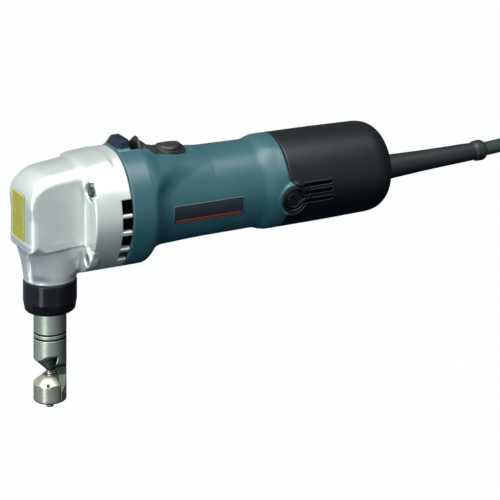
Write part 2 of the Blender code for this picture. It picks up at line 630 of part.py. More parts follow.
for side, angle in BRUSH_ANGLES.items():
    place = dict(at=(BRUSH_X, 0, 0), rot=radial(angle))
    holder = turned("brush_holder_" + side, BRUSH_HOLDER_PROFILE, material=BRASS, **place)
    cut(holder, brush_block("brush_slot_" + side,
                            (BRUSH_X_SIZE + 2 * GAP, BRUSH_WIDTH + 2 * GAP, 40.0), 18, angle))
    brush_block("carbon_brush_" + side, (BRUSH_X_SIZE, BRUSH_WIDTH, BRUSH_LENGTH), 13.4,
                angle, CARBON)
    # compression spring behind the brush
    spring = wire("brush_spring_" + side, spring_points(), 0.25, 0, STEEL)
    spring.rotation_euler = radial(angle)
    put(spring, BRUSH_X)
    cap = turned("brush_cap_" + side, BRUSH_CAP_PROFILE, material=BLACK, **place)
    cut(cap, brush_block("cap_slot_" + side, (10.0, 1.4, 2.0), CAP_TOP, angle))

# ================================================================ rear cover
# outside from the rear end to the front, then the inside back again
REAR_COVER_PROFILE = [
    (COVER_X1, 0.0), (COVER_X1, 17.5), (239.8, 21.3), (237.8, 24.9), (234.0, 27.7),
    (229.0, 29.5), (222.0, 30.2), (190.0, 30.7), (COVER_X0, COVER_R),
    (COVER_X0, 27.9), (222.0, 27.4), (229.0, 26.6), (233.6, 24.0), (236.4, 20.5),
    (237.4, 17.0), (237.4, 0.0)]
VENT_HEIGHTS = (2.4, -2.6, -8.4)
VENT_Y = 29.0
COVER_SCREW_PROFILE = [
    (25.6, 0.0), (25.6, 1.5), (29.3, 1.5), (29.3, 2.8), (30.3, 2.5), (30.3, 0.0)]

rear_cover = turned("rear_cover", REAR_COVER_PROFILE, "X", BLACK)
ledge = box("clamp_ledge", (CLAMP_X - 4.0, CLAMP_X + 4.0), across(14.0), (-26.0, -1.5))
cut(ledge, box("clamp_channel", (220.0, 236.0), across(5.6), (-9.3, 5.0)))
join(rear_cover, ledge)
cut(rear_cover, cyl("guard_hole", 8.0, 233.0, 245.0, at=(0, 0, CORD_Z)))
for side in (-1, 1):
    for i, z in enumerate(VENT_HEIGHTS):
        cut(rear_cover, box(f"vent_{side}_{i}", (165.9, 187.6),
                            (side * VENT_Y - 5.0, side * VENT_Y + 5.0), (z - 1.0, z + 1.0)))
for side, angle in BRUSH_ANGLES.items():
    cut(rear_cover, cyl("cap_clearance_" + side, 8.8, 20.0, 40.0, at=(BRUSH_X, 0, 0),
                        rot=radial(angle)))
for i, angle in enumerate(COVER_SCREW_ANGLES):
    place = dict(at=(COVER_SCREW_X, 0, 0), rot=radial(angle))
    cut(rear_cover, turned(f"cover_screw_hole_{i}",
                           stepped(24.0, (1.8, 29.0), (3.1, 36.0)), **place))
    cut(motor_housing, cyl(f"cover_screw_thread_{i}", 1.8, 20.0, 29.0, **place))
    turned(f"cover_screw_{i + 1}", COVER_SCREW_PROFILE, material=DARK_STEEL, **place)

# ---------------------------------------------------------------- cord, guard
GUARD_X = 240.0
GUARD_TILT = math.atan2(2.0, 81.0)      # rises towards the rear
GUARD_BORE_R = CORD_R + 0.5
CORD_GUARD_PROFILE = [  # along = distance behind GUARD_X
    (-5.6, GUARD_BORE_R), (-5.6, 10.5), (-3.2, 10.5), (-3.2, 7.6), (0.7, 7.6), (0.7, 8.5),
    (2.0, 8.5), (78.0, 6.2), (79.5, 7.0), (82.0, 7.3), (87.0, 7.3), (89.0, 6.4),
    (89.0, GUARD_BORE_R)]
CORD_PATH = [  # (x, z)
    (216.0, -4.3), (228.0, -4.3), (240.0, -4.2), (262.0, -3.66), (285.0, -3.09),
    (305.0, -2.6), (321.0, -2.15), (332.0, -1.7), (344.0, -0.85), (356.0, 0.3),
    (372.0, 2.2)]
CORD_CLAMP_OUTLINE = [  # (y, z)
    (-13.0, -1.2), (-13.0, 2.8), (-6.0, 3.2), (6.0, 3.2), (13.0, 2.8), (13.0, -1.2),
    (5.0, -1.2), (3.0, 0.9), (-3.0, 0.9), (-5.0, -1.2)]
CLAMP_SCREW_PROFILE = [
    (-12.0, 0.0), (-12.0, 1.3), (3.5, 1.3), (3.5, 2.6), (5.3, 2.3), (5.3, 0.0)]

turned("cord_guard", CORD_GUARD_PROFILE, material=RUBBER, at=(GUARD_X, 0, CORD_Z),
       rot=(0.0, math.pi / 2 - GUARD_TILT, 0.0))
wire("supply_cord", [(x, 0.0, z) for x, z in CORD_PATH], CORD_R, 2, RUBBER)
cord_clamp = prism("cord_clamp", CORD_CLAMP_OUTLINE, (CLAMP_X - 3.0, CLAMP_X + 3.0), "YZ",
                   NYLON)
for name, y in (("clamp_screw_left", -CLAMP_SCREW_Y), ("clamp_screw_right", CLAMP_SCREW_Y)):
    place = (CLAMP_X, y, 0)
    hole = cyl(name + "_hole", 1.6, -14.0, 8.0, "Z", place)
    cut(cord_clamp, hole)
    cut(rear_cover, hole)
    turned(name, CLAMP_SCREW_PROFILE, "Z", DARK_STEEL, place)

# ---------------------------------------------------------------- switch
SWITCH_LEVER_OUTLINE = [  # (x, z)
    (57.0, 28.4), (57.0, 36.5), (56.0, 40.6), (57.5, 41.4), (60.2, 39.4), (66.2, 34.2),
    (71.5, 33.2), (91.5, 31.2), (93.2, 30.2), (93.2, 28.4)]
SWITCH_PAD_PROFILE = [
    (30.7, 0.0), (30.7, 8.8), (32.6, 8.8), (34.2, 6.5), (34.9, 3.0), (35.0, 0.0)]

switch_unit = box("switch_unit", (186.5, 212.0), across(9.0), (2.0, 24.8), BLACK, bevel=1.0)
cut(switch_unit, box("switch_port", (180.0, 194.0), across(2.4), (22.6, 27.0)))
cyl("suppressor_capacitor", 6.0, 187.0, 207.0, at=(0, 0, -14.0), material=CAPACITOR)
switch_link = box("switch_link", (64.5, 192.0), across(1.8), (23.1, 24.3), STEEL)
join(switch_link, box("link_post", (68.0, 72.0), across(1.8), (23.3, 31.0)))
switch_lever = prism("switch_lever", SWITCH_LEVER_OUTLINE, across(9.4), "XZ", BLACK, bevel=0.5)
# the round pad and its pocket are narrowed across Y
pad_pocket = cyl("pad_pocket", 9.1, 30.4, 45.0, "Z", (SWITCH_PAD_X, 0, 0))
pad_pocket.scale = (1.0, 0.88, 1.0)
cut(switch_lever, pad_pocket, box("post_pocket", (67.6, 72.4), across(2.2), (26.0, 31.4)))
switch_pad = turned("switch_pad", SWITCH_PAD_PROFILE, "Z", RUBBER, (SWITCH_PAD_X, 0, 0))
switch_pad.scale = (1.0, 0.875, 1.0)

# ---------------------------------------------------------------- plates
PLATE_R = 29.05
PLATE_X0, PLATE_X1 = 72.5, 122.5
PLATE_SPAN = 24.0       # degrees round the barrel
PLATE_TOP = 2.5         # degrees of it above the motor axis


def side_plate(name, start_angle, material):
    """Thin plate wrapped on the barrel from start_angle, degrees above +Y."""
    mesh = bpy.data.meshes.new(name)
    radius = PLATE_R * MM
    mesh.from_pydata([(radius, 0.0, PLATE_X1 * MM), (radius, 0.0, PLATE_X0 * MM)], [(0, 1)], [])
    ob = add(name, mesh, material)
    wrap = ob.modifiers.new("wrap", "SCREW")
    wrap.axis = "Z"
    wrap.angle = math.radians(PLATE_SPAN)
    wrap.steps = 6
    wrap.render_steps = 6
    wrap.use_merge_vertices = False
    wrap.use_smooth_shade = True
    thickness = ob.modifiers.new("thickness", "SOLIDIFY")
    thickness.thickness = 0.4 * MM
    thickness.offset = 0.0
    # the turn about Y lays local Z along X and points local X down; the spin
    # about X then brings local X round to the start angle
    lay = Matrix.Rotation(math.pi / 2, 4, "Y")
    spin = Matrix.Rotation(math.radians(start_angle + 90.0), 4, "X")
    ob.matrix_world = Matrix.Translation((0, 0, -TOP_Z * MM)) @ spin @ lay


side_plate("name_plate", 180.0 - PLATE_TOP, PLATE)
side_plate("rating_plate", PLATE_TOP - PLATE_SPAN, ALUMINIUM)

# ---------------------------------------------------------------- housing screws
HOUSING_SCREW_PROFILE = [
    (16.4, 0.0), (16.4, 2.6), (17.0, 3.2), (19.3, 3.2), (19.3, SCREW_SHANK_R),
    (SCREW_END_X, SCREW_SHANK_R), (SCREW_END_X, 0.0)]

for i, (y, z) in enumerate(HOUSING_SCREWS):
    turned(f"housing_screw_{i + 1}", HOUSING_SCREW_PROFILE, "X", DARK_STEEL, (0, y, z))

# ================================================================ finish
# turned pieces are shaded by their own modifier
for ob in parts.objects:
    if ob.type == "MESH" and ob.modifiers.get("turn") is None:
        ob.data.shade_smooth()
        ob.data.set_sharp_from_angle(angle=math.radians(35))
bpy.context.view_layer.update()
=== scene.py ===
import bpy
import bmesh
import math
from mathutils import Matrix, Vector, noise


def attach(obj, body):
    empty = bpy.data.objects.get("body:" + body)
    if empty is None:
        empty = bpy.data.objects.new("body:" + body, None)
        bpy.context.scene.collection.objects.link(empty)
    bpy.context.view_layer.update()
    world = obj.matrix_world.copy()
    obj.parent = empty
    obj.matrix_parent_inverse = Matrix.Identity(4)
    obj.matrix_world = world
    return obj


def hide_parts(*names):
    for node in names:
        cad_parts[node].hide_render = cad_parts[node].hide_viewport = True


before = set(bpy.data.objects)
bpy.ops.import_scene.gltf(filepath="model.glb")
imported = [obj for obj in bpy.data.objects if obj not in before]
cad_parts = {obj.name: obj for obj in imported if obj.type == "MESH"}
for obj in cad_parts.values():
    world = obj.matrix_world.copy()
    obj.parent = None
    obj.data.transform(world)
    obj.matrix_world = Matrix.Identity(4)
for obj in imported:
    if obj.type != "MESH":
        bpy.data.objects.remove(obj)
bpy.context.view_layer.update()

MM = 0.001
TOP = 30.6                      # motor axis lies this far below the frame origin
HERE = bpy.context.scene.collection


def P(x, y, z):
    """Millimetres about the motor axis to metres in the frame."""
    return Vector((x * MM, y * MM, (z - TOP) * MM))


# ------------------------------------------------------------------ materials
def new_mat(name):
    m = bpy.data.materials.new(name)
    m.use_nodes = True
    nt = m.node_tree
    return m, nt, nt.nodes["Principled BSDF"]


def node(nt, kind, **kw):
    n = nt.nodes.new(kind)
    for k, v in kw.items():
        if k in n.inputs:
            n.inputs[k].default_value = v
        else:
            setattr(n, k, v)
    return n


def coords(nt, scale=(1, 1, 1), loc=(0, 0, 0)):
    tc = nt.nodes.new("ShaderNodeTexCoord")
    mp = nt.nodes.new("ShaderNodeMapping")
    mp.inputs["Scale"].default_value = scale
    mp.inputs["Location"].default_value = loc
    nt.links.new(tc.outputs["Object"], mp.inputs["Vector"])
    return mp.outputs["Vector"]


def noise_tex(nt, vec, scale, detail=4.0, rough=0.5):
    n = node(nt, "ShaderNodeTexNoise")
    n.inputs["Scale"].default_value = scale
    n.inputs["Detail"].default_value = detail
    n.inputs["Roughness"].default_value = rough
    nt.links.new(vec, n.inputs["Vector"])
    return n.outputs["Fac"]


def ramp(nt, fac, stops):
    r = nt.nodes.new("ShaderNodeValToRGB")
    el = r.color_ramp.elements
    el[0].position, el[0].color = stops[0][0], (*stops[0][1], 1)
    el[1].position, el[1].color = stops[-1][0], (*stops[-1][1], 1)
    for p, c in stops[1:-1]:
        e = el.new(p)
        e.color = (*c, 1)
    nt.links.new(fac, r.inputs["Fac"])
    return r.outputs["Color"]


def rng(nt, fac, lo, hi):
    m = nt.nodes.new("ShaderNodeMapRange")
    m.inputs["To Min"].default_value = lo
    m.inputs["To Max"].default_value = hi
    nt.links.new(fac, m.inputs["Value"])
    return m.outputs["Result"]


def bump(nt, height, bsdf, strength, dist, prev=None):
    b = nt.nodes.new("ShaderNodeBump")
    b.inputs["Strength"].default_value = strength
    b.inputs["Distance"].default_value = dist
    nt.links.new(height, b.inputs["Height"])
    if prev is not None:
        nt.links.new(prev, b.inputs["Normal"])
    nt.links.new(b.outputs["Normal"], bsdf.inputs["Normal"])
    return b.outputs["Normal"]


def edge_mask(nt, low=0.52, high=0.62):
    g = nt.nodes.new("ShaderNodeNewGeometry")
    m = nt.nodes.new("ShaderNodeMapRange")
    m.inputs["From Min"].default_value = low
    m.inputs["From Max"].default_value = high
    nt.links.new(g.outputs["Pointiness"], m.inputs["Value"])
    return m.outputs["Result"]


def mix(nt, fac, a, b):
    m = nt.nodes.new("ShaderNodeMix")
    m.data_type = "RGBA"
    if isinstance(fac, (int, float)):
        m.inputs["Factor"].default_value = fac
    else:
        nt.links.new(fac, m.inputs["Factor"])
    for sock, v in ((m.inputs[6], a), (m.inputs[7], b)):
        if isinstance(v, tuple):
            sock.default_value = (*v, 1)
        else:
            nt.links.new(v, sock)
    return m.outputs[2]


def moulded(name, dark, light, rough=(0.3, 0.42), grain=900.0, depth=0.00004, coat=0.0, worn=None,
            spec=0.5):
    """Injection-moulded plastic: fine spark texture, slow colour drift, rubbed edges."""
    m, nt, b = new_mat(name)
    v = coords(nt)
    slow = noise_tex(nt, v, 22.0, 3.0)
    col = ramp(nt, slow, [(0.3, dark), (0.7, light)])
    if worn:
        col = mix(nt, edge_mask(nt, 0.54, 0.70), col, worn)
    nt.links.new(col, b.inputs["Base Color"])
    fine = noise_tex(nt, v, grain, 3.0, 0.6)
    wide = noise_tex(nt, v, 60.0, 4.0)
    nt.links.new(rng(nt, wide, *rough), b.inputs["Roughness"])
    b.inputs["Specular IOR Level"].default_value = spec
    b.inputs["Coat Weight"].default_value = coat
    b.inputs["Coat Roughness"].default_value = 0.25
    bump(nt, fine, b, 0.35, depth)
    return m


def cast(name, dark, light, rough=(0.28, 0.42), grain=1100.0):
    """Fine bead-blasted casting."""
    m, nt, b = new_mat(name)
    v = coords(nt)
    slow = noise_tex(nt, v, 30.0, 5.0)
    col = ramp(nt, slow, [(0.3, dark), (0.7, light)])
    nt.links.new(col, b.inputs["Base Color"])
    b.inputs["Metallic"].default_value = 0.72
    wide = noise_tex(nt, v, 90.0, 4.0)
    nt.links.new(rng(nt, wide, *rough), b.inputs["Roughness"])
    fine = noise_tex(nt, v, grain, 4.0, 0.65)
    n1 = bump(nt, fine, b, 0.30, 0.00005)
    return m


def turned_steel(name, dark, light, rough=(0.2, 0.34), axis="Z", pitch=5200.0, metal=1.0, strength=0.25,
                 stain=None):
    """Lathe-turned metal: fine rings around the axis, faint stains."""
    m, nt, b = new_mat(name)
    sc = {"Z": (1, 1, 60), "X": (60, 1, 1)}[axis]
    v = coords(nt, (sc[0], sc[1], sc[2]))
    rings = noise_tex(nt, v, 55.0, 5.0, 0.7)
    vv = coords(nt)
    slow = noise_tex(nt, vv, 70.0, 5.0)
    col = ramp(nt, slow, [(0.3, dark), (0.7, light)])
    if stain:
        col = mix(nt, rng(nt, noise_tex(nt, vv, 160.0, 3.0), -0.6, 1.0), col, stain)
    nt.links.new(col, b.inputs["Base Color"])
    b.inputs["Metallic"].default_value = metal
    nt.links.new(rng(nt, rings, *rough), b.inputs["Roughness"])
    b.inputs["Anisotropic"].default_value = 0.3
    bump(nt, rings, b, strength, 0.00003)
    return m


def oxide(name, base=(0.004, 0.0045, 0.006), light=(0.010, 0.010, 0.013), rough=(0.14, 0.26), worn=(0.08, 0.08, 0.09)):
    m, nt, b = new_mat(name)
    v = coords(nt)
    col = ramp(nt, noise_tex(nt, v, 120.0, 4.0), [(0.3, base), (0.75, light)])
    col = mix(nt, edge_mask(nt, 0.56, 0.72), col, worn)
    nt.links.new(col, b.inputs["Base Color"])
    b.inputs["Metallic"].default_value = 0.35
    b.inputs["Coat Weight"].default_value = 0.22
    b.inputs["Coat Roughness"].default_value = 0.10
    b.inputs["Specular IOR Level"].default_value = 0.25
    nt.links.new(rng(nt, noise_tex(nt, v, 300.0, 4.0), *rough), b.inputs["Roughness"])
    bump(nt, noise_tex(nt, v, 1500.0, 3.0), b, 0.12, 0.00003)
    return m


MAT_ALU = cast("cast_aluminium_satin", (0.66, 0.71, 0.68), (0.79, 0.83, 0.80), (0.32, 0.44))
MAT_TEAL = moulded("plastic_blue_green", (0.020, 0.076, 0.093), (0.025, 0.090, 0.106), (0.30, 0.40),
                   coat=0.10, worn=(0.06, 0.16, 0.18))
MAT_BLACK = moulded("plastic_black_satin", (0.0015, 0.003, 0.0045), (0.003, 0.0055, 0.0075), (0.36, 0.46),
                    grain=700.0, depth=0.00006, worn=(0.03, 0.034, 0.036), spec=0.42)
MAT_SWITCH = moulded("plastic_switch_dark", (0.006, 0.008, 0.009), (0.012, 0.015, 0.015), (0.36, 0.48), worn=(0.05, 0.06, 0.06), spec=0.35)
MAT_RUBBER = moulded("rubber_black_matt", (0.006, 0.007, 0.009), (0.010, 0.012, 0.014), (0.40, 0.55), grain=500.0,
                     depth=0.00005, worn=(0.04, 0.04, 0.045))
MAT_CORD = moulded("rubber_cord_sheath", (0.016, 0.030, 0.021), (0.026, 0.044, 0.032), (0.20, 0.30), grain=420.0,
                   depth=0.00004)
MAT_TUBE = turned_steel("steel_turned_warm", (0.38, 0.43, 0.36), (0.50, 0.55, 0.47), (0.33, 0.45))
# Painted shade: each band along the height is coloured near black, standing in for the shade inside a groove.
def paint_groove_shade(m, bands):
    nt = m.node_tree
    b = nt.nodes["Principled BSDF"]
    z = axis_value(nt, "Z", 1000.0, TOP)
    for lo, hi in bands:
        src = b.inputs["Base Color"].links[0].from_socket
        nt.links.new(mix(nt, band(nt, z, lo, hi, 0.06), src, (0.012, 0.014, 0.012)), b.inputs["Base Color"])


MAT_DIE = turned_steel("steel_die_bright", (0.50, 0.50, 0.38), (0.62, 0.61, 0.47), (0.25, 0.38))
MAT_PUNCH = turned_steel("steel_punch_ground", (0.55, 0.55, 0.53), (0.7, 0.7, 0.68), (0.15, 0.26))
MAT_STEEL = turned_steel("steel_ground", (0.42, 0.42, 0.42), (0.55, 0.55, 0.55), (0.22, 0.34), axis="X")
MAT_NUT = oxide("steel_black_oxide_gloss")
MAT_SCREW = oxide("steel_black_screw", rough=(0.25, 0.4))
MAT_BRASS = turned_steel("brass_machined", (0.60, 0.42, 0.18), (0.72, 0.52, 0.24), (0.22, 0.36))
MAT_COPPER = turned_steel("copper_bare", (0.62, 0.28, 0.15), (0.76, 0.38, 0.22), (0.25, 0.4), axis="X")
MAT_IRON = turned_steel("iron_laminations", (0.16, 0.16, 0.17), (0.26, 0.26, 0.27), (0.4, 0.55), axis="X", strength=0.6)
MAT_CARBON = moulded("carbon_pressed", (0.03, 0.03, 0.03), (0.05, 0.05, 0.05), (0.5, 0.7))
MAT_NYLON = moulded("nylon_natural", (0.60, 0.57, 0.48), (0.70, 0.67, 0.58), (0.4, 0.5))
MAT_BLUE = moulded("capacitor_dipped", (0.05, 0.09, 0.2), (0.07, 0.12, 0.26), (0.2, 0.3))


def felt_mat():
    m, nt, b = new_mat("felt_pressed")
    v = coords(nt)
    nt.links.new(ramp(nt, noise_tex(nt, v, 400.0, 6.0), [(0.3, (0.28, 0.26, 0.22)), (0.7, (0.42, 0.4, 0.34))]),
                 b.inputs["Base Color"])
    b.inputs["Roughness"].default_value = 0.95
    bump(nt, noise_tex(nt, v, 1500.0, 6.0), b, 0.8, 0.0002)
    return m


def winding_mat():
    m, nt, b = new_mat("enamelled_wire")
    v = coords(nt)
    w = node(nt, "ShaderNodeTexWave")
    w.inputs["Scale"].default_value = 320.0
    w.inputs["Distortion"].default_value = 3.0
    w.inputs["Detail"].default_value = 2.0
    nt.links.new(v, w.inputs["Vector"])
    nt.links.new(ramp(nt, w.outputs["Fac"], [(0.2, (0.22, 0.07, 0.03)), (0.8, (0.55, 0.24, 0.11))]),
                 b.inputs["Base Color"])
    b.inputs["Metallic"].default_value = 0.6
    b.inputs["Roughness"].default_value = 0.3
    bump(nt, w.outputs["Fac"], b, 0.7, 0.0002)
    return m


MAT_FELT = felt_mat()
MAT_WIRE = winding_mat()


def axis_value(nt, axis, scale=1.0, offset=0.0):
    tc = nt.nodes.new("ShaderNodeTexCoord")
    sp = nt.nodes.new("ShaderNodeSeparateXYZ")
    nt.links.new(tc.outputs["Object"], sp.inputs["Vector"])
    ma = nt.nodes.new("ShaderNodeMath")
    ma.operation = "MULTIPLY_ADD"
    ma.inputs[1].default_value = scale
    ma.inputs[2].default_value = offset
    nt.links.new(sp.outputs[axis], ma.inputs[0])
    return ma.outputs[0]


def band(nt, val, lo, hi, soft=0.02):
    """1 between lo and hi."""
    a = nt.nodes.new("ShaderNodeMapRange")
    a.inputs["From Min"].default_value = lo - soft
    a.inputs["From Max"].default_value = lo + soft
    nt.links.new(val, a.inputs["Value"])
    c = nt.nodes.new("ShaderNodeMapRange")
    c.inputs["From Min"].default_value = hi - soft
    c.inputs["From Max"].default_value = hi + soft
    c.inputs["To Min"].default_value = 1.0
    c.inputs["To Max"].default_value = 0.0
    nt.links.new(val, c.inputs["Value"])
    m = nt.nodes.new("ShaderNodeMath")
    m.operation = "MULTIPLY"
    nt.links.new(a.outputs["Result"], m.inputs[0])
    nt.links.new(c.outputs["Result"], m.inputs[1])
    return m.outputs[0]


def plate_mat(name, face, edge_col, stripe_col, box, stripe, border=0.55, rough=(0.25, 0.4), hatch=None):
    """Printed plate: face colour, thin border and one stripe, laid out in the plate's own millimetres.
    box and stripe are (x0, x1, z0, z1) measured about the motor axis; hatch adds plain diagonal bars."""
    m, nt, b = new_mat(name)
    x = axis_value(nt, box[4], 1000.0)
    z = axis_value(nt, "Z", 1000.0, TOP)
    inside = nt.nodes.new("ShaderNodeMath")
    inside.operation = "MULTIPLY"
    nt.links.new(band(nt, x, box[0] + border, box[1] - border, 0.12), inside.inputs[0])
    nt.links.new(band(nt, z, box[2] + border, box[3] - border, 0.12), inside.inputs[1])
    v = coords(nt)
    drift = ramp(nt, noise_tex(nt, v, 140.0, 4.0), [(0.3, face[0]), (0.7, face[1])])
    col = drift
    if hatch:
        d = nt.nodes.new("ShaderNodeMath")
        d.operation = "MULTIPLY_ADD"
        nt.links.new(x, d.inputs[0])
        d.inputs[1].default_value = hatch[1]
        nt.links.new(z, d.inputs[2])
        s = nt.nodes.new("ShaderNodeMath")
        s.operation = "SINE"
        q = nt.nodes.new("ShaderNodeMath")
        q.operation = "MULTIPLY"
        q.inputs[1].default_value = hatch[2]
        nt.links.new(d.outputs[0], q.inputs[0])
        nt.links.new(q.outputs[0], s.inputs[0])
        mr = nt.nodes.new("ShaderNodeMapRange")
        mr.inputs["From Min"].default_value = 0.15
        mr.inputs["From Max"].default_value = 0.75
        mr.inputs["To Max"].default_value = hatch[3]
        nt.links.new(s.outputs[0], mr.inputs["Value"])
        col = mix(nt, mr.outputs["Result"], col, hatch[0])
    if stripe:
        sb = nt.nodes.new("ShaderNodeMath")
        sb.operation = "MULTIPLY"
        nt.links.new(band(nt, x, stripe[0], stripe[1], 0.1), sb.inputs[0])
        nt.links.new(band(nt, z, stripe[2], stripe[3], 0.1), sb.inputs[1])
        col = mix(nt, sb.outputs[0], col, stripe_col)
    col = mix(nt, inside.outputs[0], edge_col, col)
    nt.links.new(col, b.inputs["Base Color"])
    nt.links.new(rng(nt, noise_tex(nt, v, 250.0, 4.0), *rough), b.inputs["Roughness"])
    bump(nt, noise_tex(nt, v, 900.0, 3.0), b, 0.15, 0.00003)
    return m


# ------------------------------------------------------------- field mesher
import numpy as np


def S(lo, hi, v):
    t = np.clip((v - lo) / (hi - lo), 0.0, 1.0)
    return t * t * (3 - 2 * t)


def smin(a, b, k):
    h = np.maximum(k - np.abs(a - b), 0.0) / k
    return np.minimum(a, b) - h * h * k * 0.25


def smax(a, b, k):
    return -smin(-a, -b, k)


def rbox(x, y, z, c, half, r):
    qx, qy, qz = np.abs(x - c[0]) - half[0] + r, np.abs(y - c[1]) - half[1] + r, np.abs(z - c[2]) - half[2] + r
    out = np.sqrt(np.maximum(qx, 0) ** 2 + np.maximum(qy, 0) ** 2 + np.maximum(qz, 0) ** 2)
    return out + np.minimum(np.maximum(qx, np.maximum(qy, qz)), 0) - r


def rod(rad, along, r, a0, a1, k=0.4):
    return smax(rad - r, np.maximum(a0 - along, along - a1), k)


def field_mesh(name, f, lo, hi, h, passes=2, frame_matrix=None):
    """Quads over the zero surface of f, which is in millimetres about the motor axis."""
    n = [int(math.ceil((b - a) / h)) + 2 for a, b in zip(lo, hi)]
    gx, gy, gz = [a - h * 0.5 + h * np.arange(m) for a, m in zip(lo, n)]
    val = np.empty(n, np.float32)
    Y, Z = gy[None, :, None], gz[None, None, :]
    for i in range(0, n[0], 16):
        x = gx[i:i + 16][:, None, None]
        val[i:i + 16] = np.broadcast_to(f(x, Y, Z), (len(x), n[1], n[2]))
    for ax in range(3):                      # the surface closes inside the grid
        sl = [slice(None)] * 3
        for e in (0, -1):
            sl[ax] = e
            val[tuple(sl)] = np.maximum(val[tuple(sl)], 0.01)
    s = val < 0
    c = np.zeros([m - 1 for m in n], np.int8)
    corners = [(i, j, k) for i in (0, 1) for j in (0, 1) for k in (0, 1)]
    for i, j, k in corners:
        c += s[i:n[0] - 1 + i, j:n[1] - 1 + j, k:n[2] - 1 + k]
    active = (c > 0) & (c < 8)
    cells = np.argwhere(active)
    index = np.full(active.shape, -1, np.int32)
    index[active] = np.arange(len(cells), dtype=np.int32)
    pos = np.zeros((len(cells), 3))
    cnt = np.zeros(len(cells))
    for a in corners:
        for ax in range(3):
            if a[ax]:
                continue
            b = list(a)
            b[ax] = 1
            va = val[cells[:, 0] + a[0], cells[:, 1] + a[1], cells[:, 2] + a[2]].astype(float)
            vb = val[cells[:, 0] + b[0], cells[:, 1] + b[1], cells[:, 2] + b[2]].astype(float)
            m = (va < 0) != (vb < 0)
            t = np.where(m, va / np.where(m, va - vb, 1.0), 0.0)
            p = np.array(a, float)[None, :] + np.zeros((len(cells), 3))
            p[:, ax] += t
            pos[m] += p[m]
            cnt[m] += 1
    v = (cells + pos / cnt[:, None]) * h + np.array([gx[0], gy[0], gz[0]])
    e = 0.02
    for _ in range(passes):
        fx = f(v[:, 0], v[:, 1], v[:, 2])
        g = np.stack([f(v[:, 0] + e, v[:, 1], v[:, 2]) - f(v[:, 0] - e, v[:, 1], v[:, 2]),
                      f(v[:, 0], v[:, 1] + e, v[:, 2]) - f(v[:, 0], v[:, 1] - e, v[:, 2]),
                      f(v[:, 0], v[:, 1], v[:, 2] + e) - f(v[:, 0], v[:, 1], v[:, 2] - e)], 1) / (2 * e)
        step = (fx / np.maximum((g ** 2).sum(1), 0.15))[:, None] * g
        ln = np.linalg.norm(step, axis=1)
        step *= np.minimum(1.0, 0.45 * h / np.maximum(ln, 1e-9))[:, None]
        v = v - step
    quads = []
    for ax in range(3):
        u, w = (ax + 1) % 3, (ax + 2) % 3
        lo_s = [slice(1, -1)] * 3
        hi_s = [slice(1, -1)] * 3
        lo_s[ax], hi_s[ax] = slice(0, -1), slice(1, None)
        a, b = s[tuple(lo_s)], s[tuple(hi_s)]
        hit = np.argwhere(a != b)
        inside = a[a != b]
        off = np.ones(3, int)
        off[ax] = 0
        cell = hit + off
        q = []
        for du, dw in ((0, 0), (-1, 0), (-1, -1), (0, -1)):
            cc = cell.copy()
            cc[:, u] += du
            cc[:, w] += dw
            q.append(index[cc[:, 0], cc[:, 1], cc[:, 2]])
        q = np.stack(q, 1)
        q[~inside] = q[~inside][:, ::-1]
        quads.append(q)
    quads = np.concatenate(quads)
    quads = quads[(quads >= 0).all(1)]
    co = v * MM
    co[:, 2] -= TOP * MM
    if frame_matrix is not None:
        co = v @ np.array(frame_matrix, float)[:3, :3].T * MM + np.array([frame_matrix[i][3] for i in range(3)])
    me = bpy.data.meshes.new(name)
    me.vertices.add(len(co))
    me.vertices.foreach_set("co", co.astype(np.float32).ravel())
    me.loops.add(len(quads) * 4)
    me.loops.foreach_set("vertex_index", quads.astype(np.int32).ravel())
    me.polygons.add(len(quads))
    me.polygons.foreach_set("loop_start", np.arange(0, len(quads) * 4, 4, dtype=np.int32))
    me.polygons.foreach_set("loop_total", np.full(len(quads), 4, np.int32))
    me.update(calc_edges=True)
    me.validate()
    me.shade_smooth()
    ob = bpy.data.objects.new(name, me)
    HERE.objects.link(ob)
    return ob


def dress(ob, material, body, nodes=()):
    ob.data.materials.clear()
    ob.data.materials.append(material)
    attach(ob, body)
    if nodes:
        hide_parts(*nodes)
    return ob


